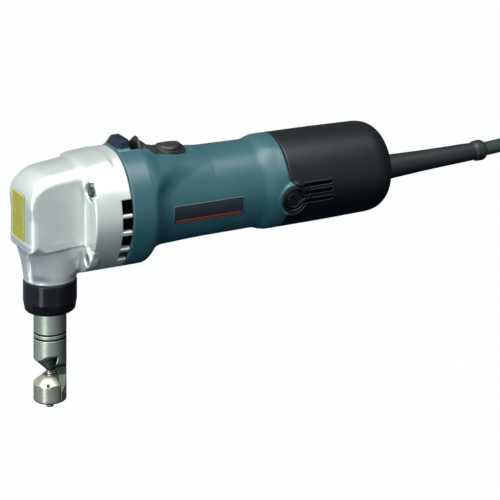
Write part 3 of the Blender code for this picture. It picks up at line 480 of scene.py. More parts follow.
# ------------------------------------------------------------- gear housing
def head_field(x, y, z):
    ay = np.abs(y)
    crown = 0.0095 * y * y
    top = (z - 30.6 - 0.13 * x + crown) * 0.98
    front = -20.4 - x
    under = (-18.3 + 0.064 * x - z)
    shell = smax(smax(top, front, 16.0), under, 1.3)
    k = 1.0 + 5.6 * S(17, 27, z) + (1.6 + 3.6 * S(13, 0, z)) * S(-9.5, -15.5, x)
    b = smax(shell, ay - 20.0, k)
    b = np.maximum(b, x - 30.0)
    # the box runs out into the round flange
    b = smax(b, (np.hypot(y, z + 1.2) - 37.2 - 7.0 * S(17.0, 7.0, x)) * 0.9, 2.0)
    drop = np.clip(-18.0 - z, -6.0, 40.0)
    fx = np.maximum(-x - (19.3 - 0.36 * drop), x - (19.5 - 0.3 * drop))
    fy = ay - (17.6 - 0.24 * drop)
    fr = smax(smax(fx, fy, 7.0), np.maximum(z + 14.0, -34.0 - z), 2.0) * 0.95
    rr = np.hypot(x, y)
    neck = smax(rr - 16.6, np.maximum(z + 8.0, -41.0 - z), 0.8)
    b = smin(b, smin(fr, neck, 6.0), 1.4)
    fr_r = np.hypot(y, z + 1.2)
    fl = smax(fr_r - 37.5 - 0.5 * S(20, 33, z), np.maximum(16.0 - x, x - 41.0), 1.1)
    fl = smax(fl, (z - 31.9 - 0.1114 * x) * 0.994, 1.0)
    boss = rod(np.hypot(ay - 24.2, z + 24.2), x, 6.0, 14.6, 20.0, 1.4)
    fl = smin(fl, boss, 2.6)
    b = smin(b, fl, 2.2 + 3.6 * S(8, 22, z))
    step = S(9.0, 22.0, x)
    ztop = (30.6 + 0.13 * x) * (1 - step) + (31.9 + 0.1114 * x) * step
    b = smax(b, (z - ztop + crown * 0.6) * 0.98, 1.2)
    # flute down the neck
    gx, gy = 17.9 * math.cos(math.radians(-157.5)), 17.9 * math.sin(math.radians(-157.5))
    b = smax(b, -(np.maximum(np.hypot(x - gx, y - gy) - 2.0, np.maximum(z + 21.0, -39.0 - z))), 0.8)
    # screw pockets
    up = rod(np.hypot(ay - 27.3, z - 17.6), x, 5.6, -30.0, 18.4, 0.6)
    dn = rod(np.hypot(ay - 25.2, z + 24.8), x, 3.7, -30.0, 18.6, 0.6)
    b = smax(b, -up, 0.9)
    b = smax(b, -dn, 0.9)
    b = smax(b, -np.minimum(np.hypot(ay - 25.0, z - 17.0), np.hypot(ay - 24.0, z + 24.0)) + 2.3, 0.3)
    b = smax(b, -rod(np.hypot(ay - 32.2, z + 17.6), x, 0.9, 10.0, 18.5, 0.3), 0.3)
    # air outlets
    ang = np.degrees(np.arctan2(z, ay))
    rad = np.hypot(y, z)
    for a0, a1 in ((19.0, 5.5), (2.0, -11.0), (-15.5, -30.0), (-34.0, -46.0)):
        cut = np.maximum(np.maximum(ang - a0, a1 - ang) * 0.64, np.maximum(34.0 - x, 33.0 - rad))
        b = smax(b, -cut, 0.7)
    # rooms inside
    b = np.maximum(b, -rod(fr_r, x, 34.5, 21.0, 60.0, 0.5))
    room = np.maximum(np.maximum(np.abs(y) - 15.0, np.maximum(-15.6 - x, x - 13.0)), np.maximum(-12.0 - z, z - 25.8))
    room = np.maximum(room, (z - x - 34.0) * 0.7071)
    room = np.maximum(room, (z + ay - 37.0) * 0.7071)
    well = np.maximum(np.maximum(np.abs(y) - 9.3, np.abs(x + 0.5) - 4.8), np.maximum(20.0 - z, z - 27.3))
    room = np.minimum(room, well)
    b = np.maximum(b, -room)
    b = np.maximum(b, -rod(np.hypot(y, z - 13.8), x, 11.3, 10.0, 25.0, 0.3))
    b = np.maximum(b, -(np.maximum(rr - 12.0, z + 6.0)))
    return b


def thread_field(x, y, z):
    rr = np.hypot(x, y)
    th = np.arctan2(y, x)
    ridge = 0.28 * np.sin((z / 1.5) * 2 * math.pi + th)
    b = smax(rr - 14.6 - ridge * S(-55.8, -54.5, z), np.maximum(z + 40.5, -56.3 - z), 0.4)
    return np.maximum(b, 12.0 - rr)


HS = 1.0

gear = field_mesh("gear_housing_casting", head_field, (-21.5, -38.6, -41.8), (41.8, 38.6, 37.5), 0.55 * HS)
dress(gear, MAT_ALU, "housing", ["gear_housing"])
neck_thread = field_mesh("neck_thread", thread_field, (-15.5, -15.5, -57.0), (15.5, 15.5, -40.0), 0.45 * HS)
dress(neck_thread, MAT_ALU, "housing", ())

def paint_teal_shade():
    """Painted shade: the hood before the switch and the front of the switch recess are painted dark navy with little
    sheen, standing in for the shade that falls there; the spigot inside the cover is painted just as dark.
    """
    nt = MAT_TEAL.node_tree
    b = nt.nodes["Principled BSDF"]
    src = b.inputs["Base Color"].links[0].from_socket
    x = axis_value(nt, "X", 1000.0)
    z = axis_value(nt, "Z", 1000.0, TOP)
    hood = nt.nodes.new("ShaderNodeMath")
    hood.operation = "MULTIPLY"
    nt.links.new(band(nt, x, 40.0, 60.0, 0.8), hood.inputs[0])
    nt.links.new(band(nt, z, 37.0, 60.0, 0.35), hood.inputs[1])
    tail = band(nt, x, 162.5, 200.0, 0.5)
    both = nt.nodes.new("ShaderNodeMath")
    both.operation = "MAXIMUM"
    nt.links.new(hood.outputs[0], both.inputs[0])
    nt.links.new(tail, both.inputs[1])
    pit = node(nt, "ShaderNodeMath", operation="MULTIPLY")
    nt.links.new(band(nt, x, 49.8, 62.0, 0.4), pit.inputs[0])
    nt.links.new(band(nt, axis_value(nt, "Y", 1000.0), -11.0, 11.0, 0.2), pit.inputs[1])
    dark = node(nt, "ShaderNodeMath", operation="MAXIMUM")
    nt.links.new(both.outputs[0], dark.inputs[0])
    nt.links.new(pit.outputs[0], dark.inputs[1])
    # painted shade: dark navy base colour and lowered specular wherever the mask is set
    nt.links.new(mix(nt, dark.outputs[0], src, (0.003, 0.013, 0.026)), b.inputs["Base Color"])
    nt.links.new(rng(nt, dark.outputs[0], 0.5, 0.12), b.inputs["Specular IOR Level"])


def paint_throat_shade(m):
    """Painted shade: the hollow in front of the punch is painted near black and the cut faces of the throat a darker
    grey, standing in for the shade in the throat.
    """
    nt = m.node_tree
    b = nt.nodes["Principled BSDF"]
    src = b.inputs["Base Color"].links[0].from_socket
    xy = node(nt, "ShaderNodeVectorMath", operation="MULTIPLY")
    nt.links.new(coords(nt, (1000.0, 1000.0, 0.0)), xy.inputs[0])
    xy.inputs[1].default_value = (1.0, 1.0, 0.0)
    ln = node(nt, "ShaderNodeVectorMath", operation="LENGTH")
    nt.links.new(xy.outputs[0], ln.inputs[0])
    m1 = node(nt, "ShaderNodeMath", operation="MULTIPLY")
    nt.links.new(band(nt, ln.outputs["Value"], -1.0, 9.7, 0.3), m1.inputs[0])
    nt.links.new(band(nt, axis_value(nt, "Z", 1000.0, TOP), -98.0, -84.0, 0.3), m1.inputs[1])
    m2 = node(nt, "ShaderNodeMath", operation="MULTIPLY")
    nt.links.new(m1.outputs[0], m2.inputs[0])
    nt.links.new(band(nt, axis_value(nt, "X", 1000.0), -30.0, 1.2, 0.3), m2.inputs[1])
    m3 = node(nt, "ShaderNodeMath", operation="MULTIPLY")
    nt.links.new(band(nt, ln.outputs["Value"], 2.96, 10.0, 0.12), m3.inputs[0])
    nt.links.new(band(nt, axis_value(nt, "Z", 1000.0, TOP), -118.0, -84.0, 0.3), m3.inputs[1])
    # painted shade: darker grey on the cut faces, near black in the hollow
    col = mix(nt, m3.outputs[0], src, (0.13, 0.15, 0.125))
    nt.links.new(mix(nt, m2.outputs[0], col, (0.035, 0.045, 0.055)), b.inputs["Base Color"])


# painted shade on the hood and switch recess of the teal housing
paint_teal_shade()
# painted shade in the throat of the die holder
paint_throat_shade(MAT_TUBE)
# painted shade in the two grooves of the die holder
paint_groove_shade(MAT_TUBE, ((-74.55, -73.65), (-77.65, -76.75)))

# ------------------------------------------------------------- motor housing
OUT = [(40.0, 37.5, 37.2, 38.9), (57.2, 37.2, 37.3, 38.8), (59.8, 35.4, 36.4, 37.0), (62.5, 32.2, 34.8, 34.0),
       (66.0, 29.9, 32.8, 31.4), (70.5, 28.6, 31.9, 29.8), (92.0, 28.4, 30.2, 28.9), (104.0, 28.4, 28.8, 28.6),
       (139.0, 28.4, 28.4, 28.4), (145.0, 30.4, 30.4, 30.4), (148.0, 30.8, 30.8, 30.8), (190.0, 30.8, 30.8, 30.8)]
_sx = np.arange(30.0, 190.0, 0.25)
_g = np.exp(-0.5 * (np.arange(-16, 17) * 0.25 / 1.15) ** 2)
_g /= _g.sum()
TAB = []
for col in (1, 2, 3):
    raw = np.interp(_sx, [o[0] for o in OUT], [o[col] for o in OUT])
    TAB.append(np.convolve(np.pad(raw, 16, mode="edge"), _g, mode="valid"))
BX = 159.3
ANG = {-1: math.radians(191.7), 1: math.radians(-11.7)}


def cap_frame(x, y, z, side):
    """Distance from the brush axis, height along it, and height across it."""
    ca, sa = math.cos(ANG[side]), math.sin(ANG[side])
    along = y * ca + z * sa
    w = (z * ca - y * sa) * (-1 if side < 0 else 1)
    return np.hypot(x - BX, w), along, w


def ear(w):
    """How far the blue-green shell runs over the black cover above a brush cap."""
    return 5.0 * np.clip((13.2 - w) / 4.4, 0.0, 1.0) * (w > 0.0)


def body_field(x, y, z):
    """Outside skin shared by the shell and the cover around the brush caps."""
    t, b = np.interp(x, _sx, TAB[1]), np.interp(x, _sx, TAB[2])
    # the shoulder behind the flange runs further back towards the switch
    lift = S(0.26, 1.05, np.arctan2(z, np.abs(y)))
    xe = np.where(x > 57.0, 57.0 + np.maximum(x - 57.0 - 13.0 * lift, 0.0) / (1.0 + 1.3 * lift), x)
    xe = np.where(x > 104.0, x, xe)
    a = np.interp(xe, _sx, TAB[0])
    tz = np.where(z > 0, t, b)
    q = np.sqrt((y / a) ** 2 + (z / tz) ** 2)
    return (q - 1.0) * np.minimum(a, tz) * 0.85


def boss_field(x, y, z, d):
    for side in (-1, 1):
        rr, along, w = cap_frame(x, y, z, side)
        disc = np.maximum(smax(rr - 11.6, along - 31.0, 1.0), 18.0 - along)
        d = smin(d, disc, 1.2)
    return d


def motor_field(x, y, z):
    d = boss_field(x, y, z, body_field(x, y, z))
    ay = np.abs(y)
    # soft dent high on the flare
    for s in (-1, 1):
        ca, sa = math.cos(math.radians(36.0)), math.sin(math.radians(36.0))
        al = s * y * ca + z * sa
        ac = -s * y * sa + z * ca
        dent = np.sqrt((x - 146.5) ** 2 + (ac * 0.7) ** 2 + (al - 52.2) ** 2) - 21.6
        d = smax(d, -dent, 4.0)
    # raised hood in front of the switch
    hood = smax(smax(z - 41.9, (ay - (11.4 - (z - 35.0) * 0.45)) * 0.9, 1.3), 25.0 - z, 0.5)
    hood = smax(hood, (41.6 + 0.50 * (z - 36.0) - x) * 0.88, 1.3)
    hood = smax(hood, 0.767 * (x - 54.0) + 0.644 * (z - 46.0), 1.3)
    d = smin(d, hood, 1.1)
    # rear rim, running over the cover above the caps
    seam = x - 156.0
    for side in (-1, 1):
        rr, along, w = cap_frame(x, y, z, side)
        near = along > 15.0
        seam = np.where(near, x - 156.0 - ear(w), seam)
    d = smax(d, seam * 0.8, 0.9)
    d = smax(d, 41.3 - x, 0.9)
    # inside
    inn = np.interp(x, [41.0, 56.5, 58.8, 66.0, 200.0], [34.8, 34.6, 27.0, 25.6, 25.6])
    inb = np.interp(x, [41.0, 56.5, 58.8, 66.0, 200.0], [34.0, 34.0, 26.0, 24.8, 25.4])
    hole = (np.sqrt((y / inn) ** 2 + (z / np.where(z > 0, inb, inn)) ** 2) - 1.0) * 25.0
    d = smax(d, -hole, 0.5)
    # tail inside the cover
    rad = np.hypot(y, z)
    tail = np.maximum(np.maximum(rad - 27.1, 25.0 - rad), np.maximum(148.0 - x, x - 174.5))
    wall = np.maximum(np.maximum(rad - 27.1, 8.4 - rad), np.maximum(172.0 - x, x - 174.5))
    cup = np.maximum(np.maximum(rad - 11.2, 8.3 - rad), np.maximum(169.4 - x, x - 177.5))
    d = np.minimum(d, np.minimum(tail, np.minimum(wall, cup)))
    for side in (-1, 1):
        rr, along, w = cap_frame(x, y, z, side)
        tube = np.maximum(rr - 8.4, np.maximum(22.4 - along, along - 25.6))
        d = np.minimum(d, tube)
        d = np.maximum(d, -(np.maximum(rr - 9.15, 25.9 - along)))
        d = np.maximum(d, -(np.maximum(rr - 5.6, 13.0 - along)))
    # switch recess
    px = np.abs(x - 73.3) - 22.7
    py = ay - 10.6
    plan = smax(px, py, 2.0 + 8.0 * S(76.0, 84.0, x))
    d = smax(d, -np.maximum(plan, 28.0 - z), 1.1)
    d = np.maximum(d, -np.maximum(np.maximum(ay - 3.2, np.abs(x - 67.0) - 6.5), np.maximum(20.0 - z, z - 30.0)))
    for a in (42.0, 138.0, 222.0, 318.0):
        ca, sa = 18.2 * math.cos(math.radians(a)), 18.2 * math.sin(math.radians(a))
        d = np.maximum(d, -np.maximum(np.hypot(y - ca, z - sa) - 4.7, np.maximum(170.0 - x, x - 176.0)))
    d = np.maximum(d, -np.maximum(np.maximum(ay - 3.0, np.abs(x - 173.0) - 5.0), np.maximum(22.3 - z, z - 26.2)))
    return d


motor = field_mesh("motor_housing_shell", motor_field, (40.8, -39.0, -40.2), (178.2, 39.0, 43.6), 0.72 * HS)
dress(motor, MAT_TEAL, "housing", ["motor_housing"])


# ---------------------------------------------------------------- rear cover
def cover_field(x, y, z):
    rad = np.hypot(y, z)
    big_r = np.interp(x, [140, 156.3, 190, 222, 241], [30.8, 30.8, 30.7, 30.2, 29.9])
    d = smax(rad - big_r, x - 240.3, 17.0)
    d = boss_field(x, y, z, d)
    inner = smax(rad - 27.9, x - 237.4, 15.0)
    d = smax(d, -inner, 0.4)
    seam = 156.3 - x
    for side in (-1, 1):
        rr, along, w = cap_frame(x, y, z, side)
        seam = np.where(along > 15.0, 156.3 + ear(w) - x, seam)
    d = smax(d, seam * 0.8, 0.8)
    for side in (-1, 1):
        rr, along, w = cap_frame(x, y, z, side)
        lip = smax(np.abs(rr - 7.95) - 0.95, np.abs(along - 28.7) - 2.45, 0.9)
        groove = np.maximum(np.abs(rr - 9.25) - 0.3, 29.9 - along)
        d = smax(d, -groove, 0.4)
        d = np.minimum(d, lip)
        d = smax(d, -np.maximum(rr - 7.1, 24.0 - along), 0.4)
    # three slots each side, with rounded ends and a raised lower lip
    ay = np.abs(y)
    for zs in (2.4, -2.6, -8.4):
        qx = np.maximum(np.abs(x - 176.7) - 10.0, 0.0)
        slot = np.hypot(qx, z - zs) - 1.05
        ridge = smax(np.hypot(qx, z - zs) - 1.95, rad - 31.25, 0.7)
        d = smin(d, np.maximum(ridge, 20.0 - ay), 0.5)
        d = smax(d, -np.maximum(slot, 20.0 - ay), 0.55)
    d = smax(d, -rod(np.hypot(y, z + 4.2), x, 8.15, 230.0, 250.0, 0.2), 0.9)
    for a in (-60.0, -120.0):
        ca, sa = math.cos(math.radians(a)), math.sin(math.radians(a))
        al = y * ca + z * sa
        rr = np.hypot(x - 168.0, -y * sa + z * ca)
        d = smax(d, -np.maximum(rr - 3.1, 29.0 - al), 0.6)
        d = np.maximum(d, -np.maximum(rr - 1.8, 20.0 - al))
    led = np.maximum(np.maximum(np.abs(x - 228.5) - 4.0, ay - 14.0), np.maximum(z + 1.5, rad - 28.5))
    led = np.maximum(led, -np.maximum(ay - 5.6, -9.3 - z))
    led = np.maximum(led, -np.maximum(np.hypot(x - 228.5, ay - 9.6) - 1.6, -14.0 - z))
    return np.minimum(d, led)


cover = field_mesh("rear_cover_shell", cover_field, (149.2, -31.8, -31.8), (241.0, 31.8, 31.8), 0.60 * HS)
dress(cover, MAT_BLACK, "housing", ["rear_cover"])


def cap_field(x, y, z):
    """Brush cap in its own frame: z runs outwards."""
    rr = np.hypot(x, y)
    d = smax(rr - 6.5, np.maximum(26.4 - z, z - 30.35), 0.9)
    d = smax(d, -np.maximum(np.abs(rr - 4.9) - 0.35, 29.9 - z), 0.35)
    slot = np.maximum(np.abs(y) - 0.72, np.maximum(29.35 - z, np.abs(x) - 4.3))
    return smax(d, -slot, 0.25)


for side, nm in ((-1, "left"), (1, "right")):
    a = ANG[side]
    m = Matrix.Rotation(a - math.pi / 2, 4, "X") @ Matrix.Rotation(math.radians(28.0 * side), 4, "Z")
    m.translation = P(BX, 0, 0)
    cap = field_mesh("brush_cap_moulding_" + nm, cap_field, (-7, -7, 26.0), (7, 7, 30.8), 0.22 * HS,
                     frame_matrix=m)
    dress(cap, MAT_BLACK, "housing", ["brush_cap_" + nm])


# ------------------------------------------------------------------- switch
def lever_field(x, y, z):
    ay = np.abs(y)
    top = np.interp(x, [55.0, 57.9, 59.2, 60.6, 66.4, 71.5, 91.5, 93.4], [37.4, 40.4, 41.2, 38.6, 33.8, 32.7, 31.1, 30.2])
    top = top - (0.034 + 0.055 * np.exp(-((x - 59.2) / 2.6) ** 2)) * y * y
    d = (z - top) * 0.70
    d = smax(d, 28.4 - z, 0.3)
    lean = np.interp(z, [28.0, 34.0, 38.0, 42.0], [57.0, 57.0, 57.4, 58.6])
    d = smax(d, lean - x, 0.8)
    d = smax(d, x - 93.2, 0.8)
    d = smax(d, smax(ay - 9.4, x - 93.2, 9.5), 1.0)
    # grip ribs across the slope and behind the pad
    rib = np.abs(((x - 62.0) % 1.9) - 0.95) - 0.42
    zone = np.maximum(np.maximum(62.4 - x, x - 71.4), ay - 7.6)
    d = smin(d, np.maximum(np.maximum(rib, zone), (z - top - 0.55) * 0.75), 0.35)
    # oval well for the pad, with its rim
    rr = np.hypot(x - 81.6, y / 0.885)
    rim = smax(np.abs(rr - 9.55) - 0.55, (z - top - 0.75), 0.6)
    rim = np.maximum(np.maximum(rim, 29.0 - z), ay - 9.2)
    d = smin(d, rim, 0.5)
    d = smax(d, -np.maximum(rr - 9.05, 29.3 - z), 0.3)
    d = np.maximum(d, -np.maximum(np.maximum(ay - 2.2, np.abs(x - 70.0) - 2.4), z - 31.4))
    return d


def pad_field(x, y, z):
    rr = np.hypot(x - 81.6, y / 0.875)
    dome = 34.2 - 0.034 * y * y - 0.010 * (x - 81.6) ** 2 - 0.25 * S(7.2, 8.6, rr)
    ribs = 0.26 * np.cos((x - 81.6) * 2 * math.pi / 1.75) * (1 - S(5.6, 6.6, rr))
    ring = 0.55 * np.exp(-((rr - 7.3) / 0.5) ** 2)
    d = (z - dome - ribs + 0.25 - ring * 0.6) * 0.75
    d = smax(d, rr - 8.8, 0.8)
    return smax(d, 29.6 - z, 0.2)


lever = field_mesh("switch_lever_moulding", lever_field, (55.0, -9.8, 28.0), (93.8, 9.8, 42.2), 0.30 * HS)
dress(lever, MAT_SWITCH, "switch_slider", ["switch_lever"])
pad = field_mesh("switch_thumb_pad", pad_field, (72.4, -8.2, 29.2), (90.8, 8.2, 36.0), 0.22 * HS)
dress(pad, MAT_RUBBER, "switch_slider", ["switch_pad"])


# ----------------------------------------------------- lock nut and die holder
def nut_field(x, y, z):
    rr = np.hypot(x, y)
    th = np.arctan2(y, x)
    edge = np.interp(z, [-60.6, -60.0, -59.2, -54.6, -53.6, -41.0], [13.9, 15.0, 15.95, 16.75, 16.95, 16.95])
    d = (rr - edge) * 0.93
    d = smax(d, np.maximum(z + 41.3, -60.5 - z), 0.7)
    # very shallow grip flats round the side
    for i in range(6):
        a = math.radians(17.0 + 60.0 * i)
        d = smax(d, x * math.cos(a) + y * math.sin(a) - 16.6, 0.5)
    d = np.maximum(d, -np.maximum(rr - np.where(z > -56.8, 15.1, 14.8), -58.9 - z))
    return smax(d, -(rr - 10.65), 0.5)


def holder_field(x, y, z):
    rr = np.hypot(x, y)
    ay = np.abs(y)
    d = smax(rr - 10.35, np.maximum(z + 44.0, -117.0 - z), 1.0)
    d = smin(d, smax(rr - 14.5, np.abs(z + 57.6) - 1.0, 0.3), 0.3)
    d = smin(d, smax(rr - 11.7, np.maximum(z + 44.0, -57.0 - z), 0.5), 0.2)
    for zg in (-74.1, -77.2):
        d = smax(d, -np.maximum(np.abs(z - zg) - 0.40, 9.5 - rr), 0.12)
    # throat: hollow-ground under the upper jaw, waisted web behind the punch
    cheek = S(0.35, 1.0, ay / np.maximum(rr, 1e-3))
    jaw_z = -96.0 + (rr - 4.7) * (0.95 + 0.62 * cheek)
    under = (z - jaw_z) * (0.70 - 0.18 * cheek)            # below this is open
    waist = np.maximum(3.2 + np.maximum(z + 96.8, 0.0) * 1.55, 3.2 + np.maximum(-101.8 - z, 0.0) / 1.30)
    front = np.interp(z, [-101.5, -99.0, -97.4, -88.0], [3.9, 3.6, -1.4, 1.4])
    keep = smax((ay - waist) * 0.78, front - x, 0.5)
    gap = np.maximum(under, -keep)
    d = smax(d, -gap, 0.3)
    d = np.maximum(d, -np.maximum(rr - 2.9, z + 70.0))
    d = np.maximum(d, -(np.maximum(rr - 7.4, -75.5 - z)))
    for s in (-6.6, 6.6):
        d = np.maximum(d, -np.maximum(np.hypot(y - s, z + 110.5) - 1.35, x - 7.0))
    return d


def die_field(x, y, z):
    rr = np.hypot(x, y)
    d = smax(rr - 10.35, -117.0 - z, 1.2)
    cone = (rr - 4.7 + (z + 101.1) * 1.31) * 0.61
    d = smax(d, cone, 0.45)
    # ground facets on the shoulder
    for a in (180.0, 232.0, 128.0):
        c, s = math.cos(math.radians(a)), math.sin(math.radians(a))
        d = smax(d, ((x * c + y * s) - 4.5 + (z + 101.1) * 1.12) * 0.66, 0.3)
    d = smax(d, z + 101.1, 0.25)
    d = smax(d, x - 3.55, 0.35)
    d = smax(d, -(rr - 2.95), 0.25)
    for s in (-6.6, 6.6):
        d = np.maximum(d, -np.maximum(np.hypot(y - s, z + 110.5) - 1.95, -5.55 - x))
    # locating pin hole in the shoulder
    c, s = math.cos(math.radians(-118.0)), math.sin(math.radians(-118.0))
    al, ac = x * c + y * s, -x * s + y * c
    d = smax(d, -np.maximum(np.hypot(ac, z + 105.6) - 0.95, 4.6 - al), 0.2)
    return d


nut = field_mesh("lock_nut_turned", nut_field, (-17.2, -17.2, -62.2), (17.2, 17.2, -41.0), 0.36 * HS)
dress(nut, MAT_NUT, "lock_nut", ["lock_nut"])
holder = field_mesh("die_holder_turned", holder_field, (-14.8, -14.8, -117.3), (14.8, 14.8, -43.7), 0.33 * HS)
dress(holder, MAT_TUBE, "die_holder", ["die_holder"])
die = field_mesh("die_ground", die_field, (-10.6, -10.6, -117.3), (4.0, 10.6, -100.8), 0.22 * HS)
dress(die, MAT_DIE, "die_holder", ["die"])


# --------------------------------------------------------------- lathe pieces
def lathe(name, profile, origin, direction, segs=96, closed=True, round_r=0.0):
    """Profile of (along, radius) millimetres spun about an axis; corners are rounded by round_r."""
    pts = [Vector(p) for p in profile]
    out = []
    n = len(pts)
    for i, p in enumerate(pts):
        if round_r <= 0 or p.y <= 1e-6 or (not closed and i in (0, n - 1)):
            out.append(p)
            continue
        a, b = pts[i - 1], pts[(i + 1) % n]
        la, lb = (a - p).length, (b - p).length
        r = min(round_r, la * 0.45, lb * 0.45)
        pa, pb = p + (a - p) * (r / la), p + (b - p) * (r / lb)
        for k in range(5):
            t = k / 4
            out.append(pa * (1 - t) ** 2 + p * 2 * t * (1 - t) + pb * t * t)
    z = Vector(direction).normalized()
    q = z.to_track_quat("Z", "Y").to_matrix()
    bm = bmesh.new()
    rows = []
    for p in out:
        if p.y <= 1e-6:
            rows.append([bm.verts.new(origin + q @ Vector((0, 0, p.x)) * MM)])
        else:
            rows.append([bm.verts.new(origin + q @ Vector((p.y * math.cos(2 * math.pi * i / segs),
                                                           p.y * math.sin(2 * math.pi * i / segs), p.x)) * MM)
                         for i in range(segs)])
    m = len(rows)
    for j in range(m if closed else m - 1):
        r0, r1 = rows[j], rows[(j + 1) % m]
        for i in range(segs):
            k = (i + 1) % segs
            if len(r0) == 1 and len(r1) == 1:
                continue
            if len(r0) == 1:
                bm.faces.new((r0[0], r1[i], r1[k]))
            elif len(r1) == 1:
                bm.faces.new((r0[i], r1[0], r0[k]))
            else:
                bm.faces.new((r0[i], r1[i], r1[k], r0[k]))
    bmesh.ops.recalc_face_normals(bm, faces=bm.faces[:])
    me = bpy.data.meshes.new(name)
    bm.to_mesh(me)
    bm.free()
    me.shade_smooth()
    me.set_sharp_from_angle(angle=math.radians(40))
    ob = bpy.data.objects.new(name, me)
    HERE.objects.link(ob)
    return ob


punch = lathe("punch_ground", [(-54.5, 0), (-54.5, 4.0), (-65.5, 4.0), (-66.5, 2.5), (-102.5, 2.5), (-102.7, 1.7),
                               (-106.0, 1.7), (-106.5, 2.4), (-121.5, 2.4), (-121.5, 0)],
              P(0, 0, 0), (0, 0, 1), 64, False, 0.35)
dress(punch, MAT_PUNCH, "ram", ["punch"])

for nm, sy in (("left", -6.6), ("right", 6.6)):
    sc = lathe("die_screw_seated_" + nm, [(-5.3, 0), (-5.3, 1.7), (-3.5, 1.7), (-3.5, 1.05), (6.7, 1.05), (6.7, 0)],
               P(0, sy, -110.5), (1, 0, 0), 40, False, 0.15)
    dress(sc, MAT_SCREW, "die_holder", ["die_screw_" + nm])

tilt = math.atan2(2.0, 81.0)
guard_profile = [(-5.6, 5.2), (-5.6, 10.5), (-3.2, 10.5), (-3.2, 7.6), (0.6, 7.6), (0.6, 8.5), (3.0, 8.6)]
for i in range(14):                 # long taper, very slightly waisted
    t = (i + 1) / 15
    guard_profile.append((3.0 + 73.0 * t, 8.5 - 2.3 * t - 0.35 * math.sin(math.pi * t)))
guard_profile += [(79.6, 5.95), (81.4, 7.0), (86.6, 7.1), (88.2, 6.4), (88.4, 5.2)]
guard = lathe("cord_guard_moulding", guard_profile, P(240.0, 0, -4.2), (math.cos(tilt), 0, math.sin(tilt)), 72, True, 0.7)
dress(guard, MAT_RUBBER, "housing", ["cord_guard"])


def cord():
    path = [(216.0, -4.3), (228.0, -4.3), (240.0, -4.2), (262.0, -3.66), (285.0, -3.09), (305.0, -2.6),
            (321.0, -2.15), (332.0, -1.7), (344.0, -0.85), (356.0, 0.3), (372.0, 2.2)]
    pts = []
    for i in range(len(path) - 1):
        p0, p1, p2, p3 = (Vector(path[max(0, min(len(path) - 1, j))]) for j in (i - 1, i, i + 1, i + 2))
        for k in range(12):
            t = k / 12
            pts.append(0.5 * ((2 * p1) + (p2 - p0) * t + (2 * p0 - 5 * p1 + 4 * p2 - p3) * t * t
                              + (3 * p1 - p0 - 3 * p2 + p3) * t ** 3))
    pts.append(Vector(path[-1]))
    bm = bmesh.new()
    segs = 40
    rows = []
    for i, p in enumerate(pts):
        a, b = pts[max(0, i - 1)], pts[min(len(pts) - 1, i + 1)]
        t = (b - a).normalized()
        n = Vector((-t.y, t.x))
        row = []
        for k in range(segs):
            th = 2 * math.pi * k / segs
            r = 4.7
            row.append(bm.verts.new(P(p.x + n.x * r * math.sin(th), r * math.cos(th), p.y + n.y * r * math.sin(th))))
        rows.append(row)
    for r0, r1 in zip(rows, rows[1:]):
        for k in range(segs):
            bm.faces.new((r0[k], r0[(k + 1) % segs], r1[(k + 1) % segs], r1[k]))
    ends = (rows[0], rows[-1])
    for row in ends:
        bm.faces.new(row)
    bmesh.ops.recalc_face_normals(bm, faces=bm.faces[:])
    me = bpy.data.meshes.new("supply_cord_sheath")
    bm.to_mesh(me)
    bm.free()
    me.shade_smooth()
    me.set_sharp_from_angle(angle=math.radians(50))
    ob = bpy.data.objects.new("supply_cord_sheath", me)
    HERE.objects.link(ob)
    return ob


dress(cord(), MAT_CORD, "housing", ["supply_cord"])


# ---------------------------------------------------------------- flat plates
def bent_plate(name, x0, x1, z0, z1, surf, corner, thick):
    """Thin plate with round corners laid on a surface: surf(u, v) gives a point."""
    nu, nv = 60, 26
    bm = bmesh.new()
    grid = []
    for i in range(nu + 1):
        row = []
        for j in range(nv + 1):
            u, v = i / nu, j / nv
            # pull the four corners in to a radius
            du, dv = min(u, 1 - u) * (x1 - x0), min(v, 1 - v) * (z1 - z0)
            uu, vv = u, v
            if du < corner and dv < corner:
                a, b = corner - du, corner - dv
                L = math.hypot(a, b)
                m = max(a, b)
                if L > 1e-9:
                    s = m / L
                    uu = (corner - a * s) / (x1 - x0)
                    vv = (corner - b * s) / (z1 - z0)
                    uu = uu if u < 0.5 else 1 - uu
                    vv = vv if v < 0.5 else 1 - vv
            row.append(bm.verts.new(surf(uu, vv)))
        grid.append(row)
    for i in range(nu):
        for j in range(nv):
            bm.faces.new((grid[i][j], grid[i + 1][j], grid[i + 1][j + 1], grid[i][j + 1]))
    bmesh.ops.recalc_face_normals(bm, faces=bm.faces[:])
    me = bpy.data.meshes.new(name)
    bm.to_mesh(me)
    bm.free()
    me.shade_smooth()
    ob = bpy.data.objects.new(name, me)
    HERE.objects.link(ob)
    so = ob.modifiers.new("thickness", "SOLIDIFY")
    so.thickness = thick * MM
    so.offset = 0.0
    bv = ob.modifiers.new("rolled_edge", "BEVEL")
    bv.width = 0.12 * MM
    bv.segments = 2
    bv.limit_method = "ANGLE"
    return ob


def wrap(side, x0, x1, a0, a1, r):
    def surf(u, v):
        a = math.radians(a0 + (a1 - a0) * v)
        return P(x0 + (x1 - x0) * u, side * r * math.cos(a), r * math.sin(a))
    return surf


